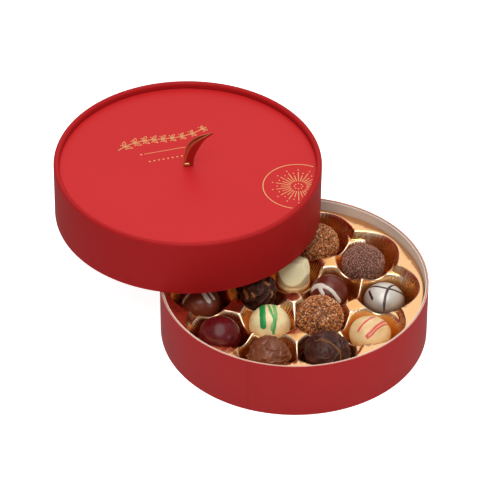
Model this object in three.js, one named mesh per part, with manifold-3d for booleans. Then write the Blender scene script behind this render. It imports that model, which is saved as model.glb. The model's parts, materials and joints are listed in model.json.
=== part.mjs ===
// A round gift box of chocolate pralines: a red card base with a gold moulded tray of fifteen
// pralines, and its deep red lid, which lies half across the rim of the base.
// Millimetres, +Z up. The origin is the middle of the base's underside, and the lid lies towards
// -X and +Y.

import * as THREE from 'three';
import { mergeVertices } from 'three/addons/utils/BufferGeometryUtils.js';
import Module from 'manifold-3d';

const wasm = await Module();
wasm.setup();

// Driving dimensions of the box
const CLEARANCE = 0.3;
const BASE_RADIUS = 90;
const BASE_HEIGHT = 41.9;
const BASE_BOARD = 1.1;
const LINING_BOARD = 0.7;
const BOTTOM_BOARD = 1.6;
const BOX_SEGMENTS = 60;

// Driving dimensions of the lid, and how it lies on the base
const LID_RADIUS = 91.3;
const LID_HEIGHT = 41.9;
const LID_BOARD = 1.1;
const LID_BEAD_WIDTH = 4;
const LID_PANEL_DEPTH = 4.6;
const LID_PANEL_BOARD = 1.2;
const LID_OFFSET = 104.5;
const LID_BEARING = THREE.MathUtils.degToRad(133.8);
const LID_TILT = THREE.MathUtils.degToRad(1.15);

// Driving dimensions of the pull ribbon
const RIBBON_WIDTH = 6.6;
const RIBBON_TIP_WIDTH = 1.6;
const RIBBON_THICKNESS = 0.6;
const RIBBON_GAP = 0.9;
const RIBBON_STEPS = 14;

// Driving dimensions of the gold tray: a high border round a lower field of cups
const TRAY_RADIUS = 87;
const TRAY_TOP = 34.5;
const TRAY_SHEET = 0.6;
const FIELD_TOP = 28.8;
const FIELD_RADIUS = 75;
const CENTRE_TOP = 22.9;
const CENTRE_RADIUS = 8;
const CENTRE_MOUTH_RADIUS = 22;
const CUP_FLOOR = 13;
const CUP_FLOOR_RADIUS = 12.2;
const CUP_MOUTH_RADIUS = 20.5;
const CUP_BORDER_RADIUS = 21.5;
const CUP_SEGMENTS = 16;
const TRAY_SEGMENTS = 48;
const CENTRE_SEGMENTS = 6;
const INNER_RING = { count: 5, reach: 27.6, bearing: 19.4 };
const OUTER_RING = { count: 10, reach: 61.5, bearing: 1.4 };

// Driving dimensions of the pralines
const PRALINE_SEGMENTS = 18;
const PRALINE_FOOT = CUP_FLOOR + CLEARANCE;
const FOOT_SHARE = 0.72;
const BELLY_SHARE = 0.9;
const TRUFFLE_DETAIL = 4;
const NUT_DETAIL = 5;

// Materials
const gloss = (color, roughness, metalness = 0) =>
  new THREE.MeshStandardMaterial({ color, roughness, metalness });
const finish = {
  redPaper: gloss(0xb02a2c, 0.5),
  creamPaper: gloss(0xd9cbb8, 0.8),
  goldFilm: gloss(0xd2955a, 0.25, 0.9),
  ribbon: gloss(0x8e1512, 0.4),
  milk: gloss(0x6f4030, 0.35),
  dark: gloss(0x33191a, 0.3),
  white: gloss(0xe3cfa2, 0.4),
  pearl: gloss(0xc9c3bb, 0.25),
  plum: gloss(0x4a1119, 0.2),
  cocoa: gloss(0x775048, 0.9),
  nut: gloss(0xae7646, 0.7),
};

// Geometry helpers

// A seeded random source, so that every build gives the same pralines
function seededRandom(seed) {
  let state = seed;
  return () => {
    state = (state * 1664525 + 1013904223) % 4294967296;
    return state / 4294967296;
  };
}

// Merges shared vertices and drops the collapsed triangles at a lathe's poles
function weld(geometry) {
  geometry.deleteAttribute('normal');
  geometry.deleteAttribute('uv');
  const merged = mergeVertices(geometry, 1e-4);
  const kept = [];
  const index = merged.index.array;
  for (let i = 0; i < index.length; i += 3) {
    const [a, b, c] = [index[i], index[i + 1], index[i + 2]];
    if (a !== b && b !== c && c !== a) kept.push(a, b, c);
  }
  merged.setIndex(kept);
  return merged;
}

function toSolid(geometry) {
  const welded = weld(geometry);
  return new wasm.Manifold(new wasm.Mesh({
    numProp: 3,
    vertProperties: new Float32Array(welded.attributes.position.array),
    triVerts: new Uint32Array(welded.index.array),
  }));
}

function toGeometry(solid) {
  const mesh = solid.getMesh();
  const geometry = new THREE.BufferGeometry();
  geometry.setAttribute('position', new THREE.BufferAttribute(mesh.vertProperties.slice(), 3));
  geometry.setIndex(new THREE.BufferAttribute(mesh.triVerts.slice(), 1));
  geometry.computeVertexNormals();
  return geometry;
}

// Turns a profile of [radius, height] pairs about the Z axis
function turned(profile, segments) {
  const points = profile.map(([radius, height]) => new THREE.Vector2(radius, height));
  return new THREE.LatheGeometry(points, segments).rotateX(Math.PI / 2);
}

// A tube with square ends, as a closed profile
function ring(outer, inner, bottom, top, segments) {
  const profile = [[outer, bottom], [outer, top], [inner, top], [inner, bottom], [outer, bottom]];
  return turned(profile, segments);
}

function disc(radius, bottom, top, segments) {
  return turned([[0, bottom], [radius, bottom], [radius, top], [0, top]], segments);
}

function polar(reach, degrees) {
  const angle = THREE.MathUtils.degToRad(degrees);
  return new THREE.Vector3(reach * Math.cos(angle), reach * Math.sin(angle), 0);
}

function piece(name, geometry, material) {
  const mesh = new THREE.Mesh(geometry, material);
  mesh.name = name;
  return mesh;
}

// The base: a red tube, the cream sleeve inside it, and the bottom board

function makeBase() {
  const base = new THREE.Group();
  const wallInside = BASE_RADIUS - BASE_BOARD;
  const sleeve = wallInside - CLEARANCE;
  const sleeveBottom = BOTTOM_BOARD + CLEARANCE;
  const wall = ring(BASE_RADIUS, wallInside, 0, BASE_HEIGHT, BOX_SEGMENTS);
  const lining = ring(sleeve, sleeve - LINING_BOARD, sleeveBottom, BASE_HEIGHT, BOX_SEGMENTS);
  const bottom = disc(sleeve, 0, BOTTOM_BOARD, BOX_SEGMENTS);
  base.add(piece('base_wall', wall, finish.redPaper));
  base.add(piece('base_lining', lining, finish.creamPaper));
  base.add(piece('base_bottom', bottom, finish.redPaper));
  return base;
}

// The tray: one thin moulded sheet with a skirt, a stepped border, and five inner and ten outer
// cups. Neighbouring cups run into each other near the top, so the ridges between them dip.

function cupPlaces() {
  const places = [];
  for (const row of [INNER_RING, OUTER_RING]) {
    for (let i = 0; i < row.count; i += 1) {
      places.push(polar(row.reach, row.bearing + (i * 360) / row.count));
    }
  }
  return places;
}

// A cup as a solid: a flat floor under a wall that widens to the field and steepens to the border
function cup(at, grow, floor, top) {
  const profile = [
    [0, floor],
    [CUP_FLOOR_RADIUS + grow, floor],
    [CUP_MOUTH_RADIUS + grow, FIELD_TOP],
    [CUP_BORDER_RADIUS + grow, top],
    [0, top],
  ];
  return toSolid(turned(profile, CUP_SEGMENTS).translate(at.x, at.y, 0));
}

// The middle of the field as a solid: a dish with a flat floor, lower than the flats round it
function dish(grow, top) {
  const profile = [
    [0, CENTRE_TOP - grow],
    [CENTRE_RADIUS, CENTRE_TOP - grow],
    [CENTRE_MOUTH_RADIUS, FIELD_TOP - grow],
    [CENTRE_MOUTH_RADIUS, top],
    [0, top],
  ];
  return toSolid(turned(profile, CENTRE_SEGMENTS));
}

function makeTray() {
  const skirtBottom = BOTTOM_BOARD + CLEARANCE;
  const skirtInside = TRAY_RADIUS - TRAY_SHEET;
  const stepOutside = FIELD_RADIUS + TRAY_SHEET;
  const above = TRAY_TOP + TRAY_SHEET;
  const sheet = [
    [0, FIELD_TOP - TRAY_SHEET],
    [stepOutside, FIELD_TOP - TRAY_SHEET],
    [stepOutside, TRAY_TOP - TRAY_SHEET],
    [skirtInside, TRAY_TOP - TRAY_SHEET],
    [skirtInside, skirtBottom],
    [TRAY_RADIUS, skirtBottom],
    [TRAY_RADIUS, TRAY_TOP],
    [FIELD_RADIUS, TRAY_TOP],
    [FIELD_RADIUS, FIELD_TOP],
    [0, FIELD_TOP],
  ];
  let tray = toSolid(turned(sheet, TRAY_SEGMENTS)).add(dish(TRAY_SHEET, FIELD_TOP));
  const places = cupPlaces();
  for (const at of places) {
    tray = tray.add(cup(at, TRAY_SHEET, CUP_FLOOR - TRAY_SHEET, TRAY_TOP - TRAY_SHEET / 2));
  }
  tray = tray.subtract(toSolid(disc(FIELD_RADIUS, FIELD_TOP, above, TRAY_SEGMENTS)));
  tray = tray.subtract(dish(0, above));
  for (const at of places) {
    tray = tray.subtract(cup(at, 0, CUP_FLOOR, above));
  }
  return piece('tray', toGeometry(tray), finish.goldFilm);
}

// Praline shapes, each about its own upright axis

// A moulded praline: narrow foot, waist, and an elliptical crown
function domeGeometry({ radius, waist, top }) {
  const belly = (PRALINE_FOOT + waist) / 2;
  const profile = [
    [0, PRALINE_FOOT], [radius * FOOT_SHARE, PRALINE_FOOT], [radius * BELLY_SHARE, belly],
  ];
  const crownSteps = 5;
  for (let i = 0; i <= crownSteps; i += 1) {
    const angle = (i / crownSteps) * (Math.PI / 2);
    profile.push([radius * Math.cos(angle), waist + (top - waist) * Math.sin(angle)]);
  }
  profile[profile.length - 1][0] = 0;
  return turned(profile, PRALINE_SEGMENTS);
}

// A hand-rolled praline: a ball with relief, flattened where it sits in its cup
function ballGeometry({ radius, waist, top, relief, detail }) {
  const ball = weld(new THREE.IcosahedronGeometry(1, detail));
  const place = ball.attributes.position;
  const direction = new THREE.Vector3();
  for (let i = 0; i < place.count; i += 1) {
    direction.fromBufferAttribute(place, i).normalize();
    const reach = radius + relief(direction);
    const rise = (direction.z > 0 ? top - waist : radius) * (reach / radius);
    const height = Math.max(waist + rise * direction.z, PRALINE_FOOT);
    place.setXYZ(i, reach * direction.x, reach * direction.y, height);
  }
  return ball;
}

// Chopped nuts: every point of the surface stands out or back by chance
function nutRelief(seed) {
  const random = seededRandom(seed);
  const depth = 1.1;
  return () => -depth * random();
}

// Cocoa granules: a finer grain than the nuts
function grainRelief(seed) {
  const random = seededRandom(seed);
  const depth = 0.4;
  return () => -depth * random();
}

// Crinkled truffle: creases that run round the ball on crossing slants
function crinkleRelief(seed) {
  const random = seededRandom(seed);
  const waves = [];
  for (let i = 0; i < 5; i += 1) {
    const axis = new THREE.Vector3(random() - 0.5, random() - 0.5, random() - 0.5).normalize();
    waves.push({ axis, pitch: 5 + 5 * random(), phase: 6 * random() });
  }
  const depth = 0.45;
  const folds = (at) => waves.reduce(
    (sum, { axis, pitch, phase }) => sum - depth * Math.abs(Math.sin(pitch * axis.dot(at) + phase)), 0);
  return folds;
}

// Height of a moulded praline's crown over a place on its plan
function crownHeight({ radius, waist, top }, x, y) {
  const out = Math.min(Math.hypot(x, y) / radius, 1);
  return waist + (top - waist) * Math.sqrt(1 - out * out);
}

// A line of piped chocolate over a crown, fused to it and standing proud by its height
function withPiping(body, spec, lines) {
  let solid = toSolid(body);
  for (const { width, proud, route } of lines) {
    const sunk = width / 2 - proud;
    const points = route.map(([x, y]) => new THREE.Vector3(x, y, crownHeight(spec, x, y) - sunk));
    const path = new THREE.CatmullRomCurve3(points);
    const section = new THREE.Shape().absarc(0, 0, width / 2, 0, Math.PI * 2);
    const steps = Math.max(3, Math.round(path.getLength() / 4));
    const bead = new THREE.ExtrudeGeometry(section, { steps, extrudePath: path, curveSegments: 3 });
    solid = solid.add(toSolid(bead));
  }
  return toGeometry(solid);
}

// A tall white piece: a foot with a groove over it, under a straight wall and a sloping top
function tentGeometry({ radius, waist, top }) {
  const profile = [
    [0, PRALINE_FOOT],
    [radius * 0.87, PRALINE_FOOT],
    [radius, PRALINE_FOOT + 4],
    [radius, waist - 1.5],
    [radius - 0.9, waist - 0.7],
    [radius - 0.3, waist + 0.2],
    [radius - 0.5, waist + (top - waist) * 0.68],
    [radius * 0.72, waist + (top - waist) * 0.87],
    [radius * 0.34, waist + (top - waist) * 0.97],
    [0, top],
  ];
  return turned(profile, PRALINE_SEGMENTS);
}

// A milk praline whose coat ran down in waves and set with a lumpy hem
function wavyGeometry(spec) {
  const geometry = weld(domeGeometry(spec));
  const place = geometry.attributes.position;
  const lobes = 9;
  const swing = 0.07;
  for (let i = 0; i < place.count; i += 1) {
    const [x, y, z] = [place.getX(i), place.getY(i), place.getZ(i)];
    const turn = Math.atan2(y, x);
    const wave = 1 - swing * (0.5 + 0.5 * Math.sin(lobes * turn + 0.35 * z));
    place.setXYZ(i, x * wave, y * wave, z);
  }
  return geometry;
}

// The fifteen pralines: where each stands, its size, and the function that shapes it

const PRALINES = [
  {
    name: 'praline_pearl', at: [60.7, 0.8], radius: 13.9, waist: 22, top: 33.4, material: 'pearl',
    piping: [
      { width: 1.3, proud: 0.35, route: [[-9.6, 4.9], [-3.5, 1.5], [1.5, -0.7], [6.6, -0.8], [11.6, -0.3]] },
      { width: 1.3, proud: 0.35, route: [[-0.6, -12.6], [-0.3, -10.6], [0.5, -6.5], [2.3, -1.3], [7.4, 6]] },
      { width: 1.5, proud: 0.35, route: [[-10.2, 1.4], [-9.2, -4], [-7.3, -7.9]] },
    ],
  },
  {
    name: 'praline_cocoa', at: [47.6, 35.7], radius: 14.9, waist: 26.5, top: 38.4, material: 'cocoa',
    relief: grainRelief(14), detail: TRUFFLE_DETAIL,
  },
  {
    name: 'praline_nut_back', at: [16.9, 57.5], radius: 15.2, waist: 26.5, top: 39.2, material: 'nut',
    relief: nutRelief(11), detail: TRUFFLE_DETAIL,
  },
  {
    name: 'praline_milk_under_lid', at: [-20.2, 57.6], radius: 13.9, waist: 22, top: 35, material: 'milk',
  },
  {
    name: 'praline_nut_under_lid', at: [-50.2, 34.6], radius: 15, waist: 26.3, top: 39.4, material: 'nut',
    relief: nutRelief(12), detail: TRUFFLE_DETAIL,
  },
  {
    name: 'praline_zigzag', at: [-62.8, -1.5], radius: 13.5, waist: 21.6, top: 34, material: 'milk',
    piping: [
      { width: 1.6, proud: 0.4, route: [[-11.4, -4.4], [-7.9, -2.1], [-4.9, 0.6]] },
      { width: 3.2, proud: 0.5, route: [[0.5, -0.4], [3.5, -5.4], [6.1, -8]] },
      { width: 2, proud: 0.4, route: [[4.5, 0.5], [7.2, -2.9], [9.2, -4.6]] },
    ],
  },
  {
    name: 'praline_plum', at: [-49.8, -36.4], radius: 14.2, waist: 22.8, top: 35.6, material: 'plum',
  },
  {
    name: 'praline_milk_wavy', at: [-17.1, -58.9], radius: 14.2, waist: 23, top: 38, material: 'milk',
    shape: wavyGeometry,
  },
  {
    name: 'praline_dark_truffle', at: [20.7, -58], radius: 16.6, waist: 26.2, top: 40.9, material: 'dark',
    relief: crinkleRelief(21), detail: TRUFFLE_DETAIL,
  },
  {
    name: 'praline_cream_red', at: [50.2, -34.3], radius: 13.95, waist: 22.9, top: 33.2, material: 'white',
    piping: [
      { width: 1.6, proud: 0.3, route: [[3.3, 6.8], [-1.3, 2.2], [-5.7, -2.6], [-8.2, -6]] },
      { width: 1.5, proud: 0.3, route: [[10.6, 6], [7.1, 0.4], [0.3, -7.7], [-3.1, -10.4]] },
      { width: 1.3, proud: 0.3, route: [[11.6, 2.8], [7, -2.7], [3.6, -6.4], [-2.4, -11.4]] },
    ],
  },
  {
    name: 'praline_dark_swoosh', at: [24, 9.2], radius: 13, waist: 21.9, top: 33.9, material: 'dark',
    piping: [
      { width: 3.7, proud: 0.5, route: [[-11.4, -2.2], [-10, -2.6], [-7.4, -3.6], [-4.5, -5.3]] },
      { width: 2.4, proud: 0.5, route: [[-4.5, -5.3], [-1.1, -7.1], [2.2, -9.2], [4.9, -10.8], [6.3, -11]] },
      { width: 2.6, proud: 0.5, route: [[-7.1, -4.6], [-5.8, -7.6], [-4.5, -9.7]] },
    ],
  },
  {
    name: 'praline_white_tent', at: [-0.1, 27.6], radius: 11.5, waist: 18.8, top: 34.6, material: 'white',
    shape: tentGeometry,
  },
  {
    name: 'praline_ruffled_truffle', at: [-24.6, 8.3], radius: 12.8, waist: 24.5, top: 39.6, material: 'dark',
    relief: crinkleRelief(22), detail: TRUFFLE_DETAIL,
  },
  {
    name: 'praline_cream_green', at: [-16.4, -22.7], radius: 14, waist: 20.2, top: 34.2, material: 'white',
    piping: [
      { width: 3.7, proud: 0.4, route: [[-5.1, 7.6], [-4.9, -1.6], [-4.6, -7.4], [-4.3, -10.2]] },
      { width: 1.9, proud: 0.3, route: [[-1.5, 6.9], [0.8, -2.2], [3.2, -8.7], [2.4, -12.8]] },
      { width: 1.8, proud: 0.3, route: [[1.9, 7.1], [3.5, -1.1], [3.9, -6.4], [1.6, -12]] },
    ],
  },
  {
    name: 'praline_nut_front', at: [17.1, -21.9], radius: 16.2, waist: 26.7, top: 40.9, material: 'nut',
    relief: nutRelief(13), detail: NUT_DETAIL,
  },
];

function makePraline(spec) {
  let geometry;
  if (spec.relief) {
    geometry = ballGeometry(spec);
  } else if (spec.shape) {
    geometry = spec.shape(spec);
  } else {
    geometry = domeGeometry(spec);
  }
  if (spec.piping) geometry = withPiping(geometry, spec, spec.piping);
  const mesh = piece(spec.name, geometry, finish[spec.material]);
  mesh.position.set(spec.at[0], spec.at[1], 0);
  return mesh;
}

// The lid: a tube whose top edge rolls inwards to a bead, and the panel held under the bead

function makeLidWall() {
  const inside = LID_RADIUS - LID_BOARD;
  const lip = LID_RADIUS - LID_BEAD_WIDTH;
  const round = LID_BEAD_WIDTH / 2;
  const beadBottom = LID_HEIGHT - LID_PANEL_DEPTH + CLEARANCE;
  const profile = [[LID_RADIUS, 0]];
  const roundSteps = 4;
  for (let i = 0; i <= roundSteps; i += 1) {
    const angle = (i / roundSteps) * Math.PI;
    const radius = LID_RADIUS - round + round * Math.cos(angle);
    profile.push([radius, LID_HEIGHT - round + round * Math.sin(angle)]);
  }
  profile.push([lip, beadBottom], [inside, beadBottom], [inside, 0], [LID_RADIUS, 0]);
  return piece('lid_wall', turned(profile, BOX_SEGMENTS), finish.redPaper);
}

function makeLidPanel() {
  const top = LID_HEIGHT - LID_PANEL_DEPTH;
  const radius = LID_RADIUS - LID_BOARD - CLEARANCE;
  const panel = disc(radius, top - LID_PANEL_BOARD, top, BOX_SEGMENTS);
  return piece('lid_panel', panel, finish.redPaper);
}

// The pull ribbon: a strap folded over at its tip, both legs standing on the panel. It leans to +X
// and tapers to the diagonal fold. A flat box is bent along the two legs.
function makeRibbon() {
  const lean = new THREE.CubicBezierCurve3(
    new THREE.Vector3(0.3, 0, 0),
    new THREE.Vector3(0.6, 0, 13),
    new THREE.Vector3(5, 0, 21),
    new THREE.Vector3(15.4, 0, 27),
  );
  const strap = weld(new THREE.BoxGeometry(1, 1, 1, 1, 1, 2 * RIBBON_STEPS));
  const place = strap.attributes.position;
  const side = new THREE.Vector3(0, 1, 0);
  for (let i = 0; i < place.count; i += 1) {
    const along = 2 * place.getZ(i);
    const rise = 1 - Math.abs(along);
    const centre = lean.getPoint(rise);
    const across = new THREE.Vector3().crossVectors(lean.getTangent(rise), side).normalize();
    const taper = THREE.MathUtils.smoothstep(rise, 0.45, 1);
    const width = THREE.MathUtils.lerp(RIBBON_WIDTH, RIBBON_TIP_WIDTH, taper);
    const bulge = RIBBON_GAP + 0.8 * Math.sin(Math.PI * rise);
    const leg = along === 0 ? 0 : Math.sign(along) * bulge;
    const facing = place.getY(i) * 2;
    const depth = along === 0 ? 0 : leg + Math.sign(along) * facing * (RIBBON_THICKNESS / 2);
    const cap = along === 0 ? facing * RIBBON_THICKNESS : 0;
    const point = centre.clone().addScaledVector(across, place.getX(i) * width);
    point.addScaledVector(side, depth).addScaledVector(lean.getTangent(rise), cap);
    place.setXYZ(i, point.x, point.y, point.z);
  }
  const ribbon = piece('ribbon_loop', strap, finish.ribbon);
  ribbon.position.set(0, 0, LID_HEIGHT - LID_PANEL_DEPTH + CLEARANCE);
  return ribbon;
}

// The lid tips a little towards the base about the line through its two resting places
function makeLid() {
  const lid = new THREE.Group();
  lid.add(makeLidWall(), makeLidPanel(), makeRibbon());
  const outward = new THREE.Vector3(Math.cos(LID_BEARING), Math.sin(LID_BEARING), 0);
  const chord = new THREE.Vector3(-outward.y, outward.x, 0);
  const rest = outward.clone().multiplyScalar(LID_OFFSET / 2).setZ(BASE_HEIGHT + CLEARANCE);
  lid.quaternion.setFromAxisAngle(chord, -LID_TILT);
  const arm = outward.clone().multiplyScalar(LID_OFFSET / 2).applyQuaternion(lid.quaternion);
  lid.position.copy(rest).add(arm);
  return lid;
}

const box = new THREE.Group();
box.add(makeBase(), makeTray(), makeLid());
for (const spec of PRALINES) box.add(makePraline(spec));

export default box;
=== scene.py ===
"""A round red gift box of chocolate pralines with its lid lying half across the rim.

The card, the gold tray, the ribbon and the fifteen pralines are modelled here around the fixed frame.
Lengths are in metres.
"""

import json
import math
import random
from itertools import combinations

import bmesh
import bpy
import numpy as np
from bpy.props import FloatProperty, FloatVectorProperty, IntProperty, PointerProperty
from bpy.types import Operator, Panel, PropertyGroup
from mathutils import Matrix, Vector, noise


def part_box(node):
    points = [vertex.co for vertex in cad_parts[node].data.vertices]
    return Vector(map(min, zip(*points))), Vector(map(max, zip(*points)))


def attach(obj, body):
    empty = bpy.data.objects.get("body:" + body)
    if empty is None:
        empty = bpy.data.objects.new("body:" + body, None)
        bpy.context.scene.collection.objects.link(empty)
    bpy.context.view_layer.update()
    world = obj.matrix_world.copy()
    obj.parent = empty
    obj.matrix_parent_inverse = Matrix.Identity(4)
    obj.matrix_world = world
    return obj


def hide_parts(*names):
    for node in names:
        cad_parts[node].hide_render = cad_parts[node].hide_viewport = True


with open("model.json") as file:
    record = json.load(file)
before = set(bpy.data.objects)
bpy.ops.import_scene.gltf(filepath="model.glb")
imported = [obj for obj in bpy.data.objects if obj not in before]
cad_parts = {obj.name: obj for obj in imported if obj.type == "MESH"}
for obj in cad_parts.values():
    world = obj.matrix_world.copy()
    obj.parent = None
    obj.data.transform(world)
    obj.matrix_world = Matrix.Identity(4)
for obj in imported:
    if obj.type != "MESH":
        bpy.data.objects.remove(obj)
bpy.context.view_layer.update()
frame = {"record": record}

bl_info = {
    "name": "Chocolate Praline Box",
    "version": (1, 0, 0),
    "blender": (4, 5, 0),
    "location": "View3D > Sidebar > Pralines",
    "description": "Models a round gift box of chocolate pralines around its fixed frame",
    "category": "Add Mesh",
}

MM = 0.001
FULL_TURN = 2 * math.pi
ROUND_STEPS = 240

# Angles past which an edge stays sharp
CARD_CREASE = math.radians(40)
RIBBON_CREASE = math.radians(50)
SOFT_CREASE = math.radians(60)
CRUMB_CREASE = math.radians(35)

# The photograph's camera
FRAME_PIXELS = 500
FOCAL_PIXELS = 3052.65
SENSOR_WIDTH = 36.0
CAMERA_PLACE = (-29.566 * MM, -1580.949 * MM, 1334.569 * MM)
CAMERA_PITCH = math.radians(38.733)


def node_size(node):
    low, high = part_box(node)
    return Vector(high) - Vector(low)


def node_middle(node):
    low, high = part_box(node)
    return (Vector(high) + Vector(low)) / 2


def node_top(node):
    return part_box(node)[1][2]


# Sizes and colours that a user would change


def length(name, description, default, **limits):
    return FloatProperty(
        name=name, description=description, default=default, unit="LENGTH", subtype="DISTANCE", **limits
    )


def angle(name, description, degrees):
    return FloatProperty(
        name=name, description=description, default=math.radians(degrees), subtype="ANGLE", unit="ROTATION"
    )


def colour(name, description, default):
    return FloatVectorProperty(
        name=name, description=description, default=default, subtype="COLOR", size=3, min=0, max=1
    )


class BoxSizes(PropertyGroup):
    """Sizes of the card base and its paper."""

    base_radius: length("Base radius", "Outside radius of the base", node_size("base_wall")[0] / 2)
    base_height: length("Base height", "Height of the base's wall", node_top("base_wall"))
    base_card: length("Base card", "Thickness of the base's wall", 1.1 * MM)
    lining_card: length("Lining card", "Thickness of the lining", 0.7 * MM)
    lining_drop: length("Lining drop", "How far the lining stops below the rim", 0.7 * MM)
    edge_round: length("Edge round", "Rounding of the cut card edges", 0.3 * MM)


class LidSizes(PropertyGroup):
    """Sizes of the lid, and how it lies across the base."""

    radius: length("Lid radius", "Outside radius of the lid", 91.3 * MM)
    height: length("Lid height", "Height of the lid from its mouth to the top of its bead", 41.9 * MM)
    card: length("Lid card", "Thickness of the lid's wall", 1.1 * MM)
    bead: length("Bead width", "Width of the rolled bead round the top", 4 * MM)
    panel_depth: length("Panel depth", "How far the panel lies below the bead", 4.6 * MM)
    panel_card: length("Panel card", "Thickness of the panel", 1.2 * MM)
    offset: length("Offset", "Distance between the middles of lid and base", 104.5 * MM)
    bearing: angle("Bearing", "Direction in which the lid lies", 133.8)
    tilt: angle("Tilt", "How far the lid tips towards the base", 1.15)


class TraySizes(PropertyGroup):
    """Sizes of the gold tray: a scalloped border round a lower field of cups."""

    radius: length("Tray radius", "Outside radius of the tray", node_size("tray")[0] / 2)
    top: length("Tray top", "Height of the tray's flat border", node_top("tray"))
    sheet: length("Sheet", "Thickness of the moulded film", 0.4 * MM)
    edge: length("Edge", "Rounding between the border and the skirt", 0.8 * MM)
    field: length("Field", "Height of the flats between the cups", 28.9 * MM)
    centre_top: length("Centre top", "Height of the tray's lower middle", 22.9 * MM)
    centre_radius: length("Centre radius", "Radius of the tray's lower middle", 8 * MM)
    centre_mouth: length("Centre mouth", "Radius at which the tray is back at its full height", 22 * MM)
    cup_floor: length("Cup floor", "Height of the cups' floors", 13 * MM)
    floor_radius: length("Floor radius", "Radius of a cup's floor", 12.2 * MM)
    wall_slope: FloatProperty(
        name="Wall slope", description="Rise of a cup's wall over its run", default=2.05
    )
    inner_reach: length("Inner reach", "Radius of the ring of inner cups", 27.6 * MM)
    inner_bearing: angle("Inner bearing", "Direction of the first inner cup", 19.4)
    outer_reach: length("Outer reach", "Radius of the ring of outer cups", 61.5 * MM)
    outer_bearing: angle("Outer bearing", "Direction of the first outer cup", 1.4)
    scallop_reach: length("Scallop reach", "Radius of the ring of the border's scallops", 55.6 * MM)
    scallop_radius: length("Scallop radius", "Radius of one scallop", 27 * MM)
    step_width: length("Step width", "Width of the wall between field and border", 2.3 * MM)
    ridge_round: length("Ridge round", "Softness of the ridges between cups", 2.5 * MM)
    shoulder_round: length("Shoulder round", "Softness of the shoulders", 0.6 * MM)
    rib_depth: length("Rib depth", "Depth of the ribs in the cups' walls", 0.34 * MM)
    rib_pitch: length("Rib pitch", "Distance between two ribs", 1.9 * MM)
    mesh_step: length("Mesh step", "Distance between points along a ridge", 0.62 * MM)


class PralineLooks(PropertyGroup):
    """Relief and crumb sizes of the pralines."""

    nut_size: length("Nut crumb", "Mean size of a chopped nut", 1.7 * MM)
    nut_count: IntProperty(name="Nut crumbs", description="Nut crumbs on one praline", default=1700, min=10)
    granule_size: length("Cocoa granule", "Mean size of a cocoa granule", 0.9 * MM)
    granule_count: IntProperty(
        name="Cocoa granules", description="Granules on the cocoa praline", default=2600, min=10
    )
    fine_level: IntProperty(
        name="Fine level", description="Subdivisions of a praline with drizzle", default=7, min=4, max=7
    )
    plain_level: IntProperty(
        name="Plain level", description="Subdivisions of a plain praline", default=6, min=4, max=7
    )


class BoxColours(PropertyGroup):
    """Colours of card, film, ribbon and chocolate."""

    red: colour("Red paper", "Soft-touch paper of base and lid", (0.56, 0.016, 0.018))
    cream: colour("Cream card", "Cut edge of the card", (0.72, 0.36, 0.27))
    lining: colour("Lining", "Paper inside the base", (0.80, 0.72, 0.62))
    gold: colour("Gold film", "Metallised film of the tray", (0.90, 0.47, 0.17))
    foil: colour("Gold foil", "Stamped ornament on the lid", (0.80, 0.46, 0.19))
    ribbon: colour("Ribbon", "Satin of the pull ribbon", (0.43, 0.008, 0.004))
    milk: colour("Milk chocolate", "Milk chocolate", (0.165, 0.046, 0.018))
    brown: colour("Brown chocolate", "Chocolate of the shell with the white zigzag", (0.225, 0.043, 0.017))
    dark: colour("Dark chocolate", "Dark chocolate", (0.038, 0.010, 0.006))
    purple: colour("Purple chocolate", "Chocolate of the shell with the white swoosh", (0.115, 0.017, 0.008))
    ivory: colour("White chocolate", "White chocolate", (0.86, 0.63, 0.33))
    pearl: colour("Pearl", "Pearl lustre", (0.68, 0.64, 0.57))
    plum: colour("Plum", "Plum-red glaze", (0.095, 0.004, 0.006))
    cocoa: colour("Cocoa", "Cocoa granules", (0.25, 0.118, 0.084))
    nut: colour("Nut", "Roasted nuts", (0.62, 0.205, 0.055))
    green: colour("Green drizzle", "Green stripe", (0.010, 0.30, 0.060))
    pale_green: colour("Pale green drizzle", "Pale green stripe", (0.22, 0.50, 0.15))
    pink: colour("Pink drizzle", "Pink stripe", (0.74, 0.090, 0.085))
    cream_drizzle: colour("Cream drizzle", "White piping", (0.74, 0.66, 0.56))
    # This colours the dark truffle's caramel line; on the ruffled truffle it paints glints, which are
    # painted reflections of the gold film
    caramel_and_gold_reflection: colour("Caramel", "Caramel glints", (0.40, 0.14, 0.04))


# Shader nodes written as Python expressions


class Wire:
    """A shader socket that maths can be written with."""

    def __init__(self, tree, socket):
        self.tree = tree
        self.socket = socket

    def _maths(self, operation, *values):
        node = self.tree.nodes.new("ShaderNodeMath")
        node.operation = operation
        for socket, value in zip(node.inputs, values):
            plug(self.tree, socket, value)
        return Wire(self.tree, node.outputs[0])

    def __add__(self, other):
        return self._maths("ADD", self, other)

    def __radd__(self, other):
        return self._maths("ADD", other, self)

    def __sub__(self, other):
        return self._maths("SUBTRACT", self, other)

    def __rsub__(self, other):
        return self._maths("SUBTRACT", other, self)

    def __mul__(self, other):
        return self._maths("MULTIPLY", self, other)

    def __rmul__(self, other):
        return self._maths("MULTIPLY", other, self)

    def __pow__(self, other):
        return self._maths("POWER", self, other)

    def above(self, other):
        return self._maths("GREATER_THAN", self, other)

    def below(self, other):
        return self._maths("LESS_THAN", self, other)

    def sine(self):
        return self._maths("SINE", self)

    def size(self):
        return self._maths("ABSOLUTE", self)


def plug(tree, socket, value):
    """Links a wire to a socket, or sets a plain value on it."""
    if isinstance(value, Wire):
        tree.links.new(value.socket, socket)
    elif hasattr(socket.default_value, "__len__") and len(socket.default_value) == 4 and len(value) == 3:
        socket.default_value = (*value, 1.0)
    else:
        socket.default_value = value


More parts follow.
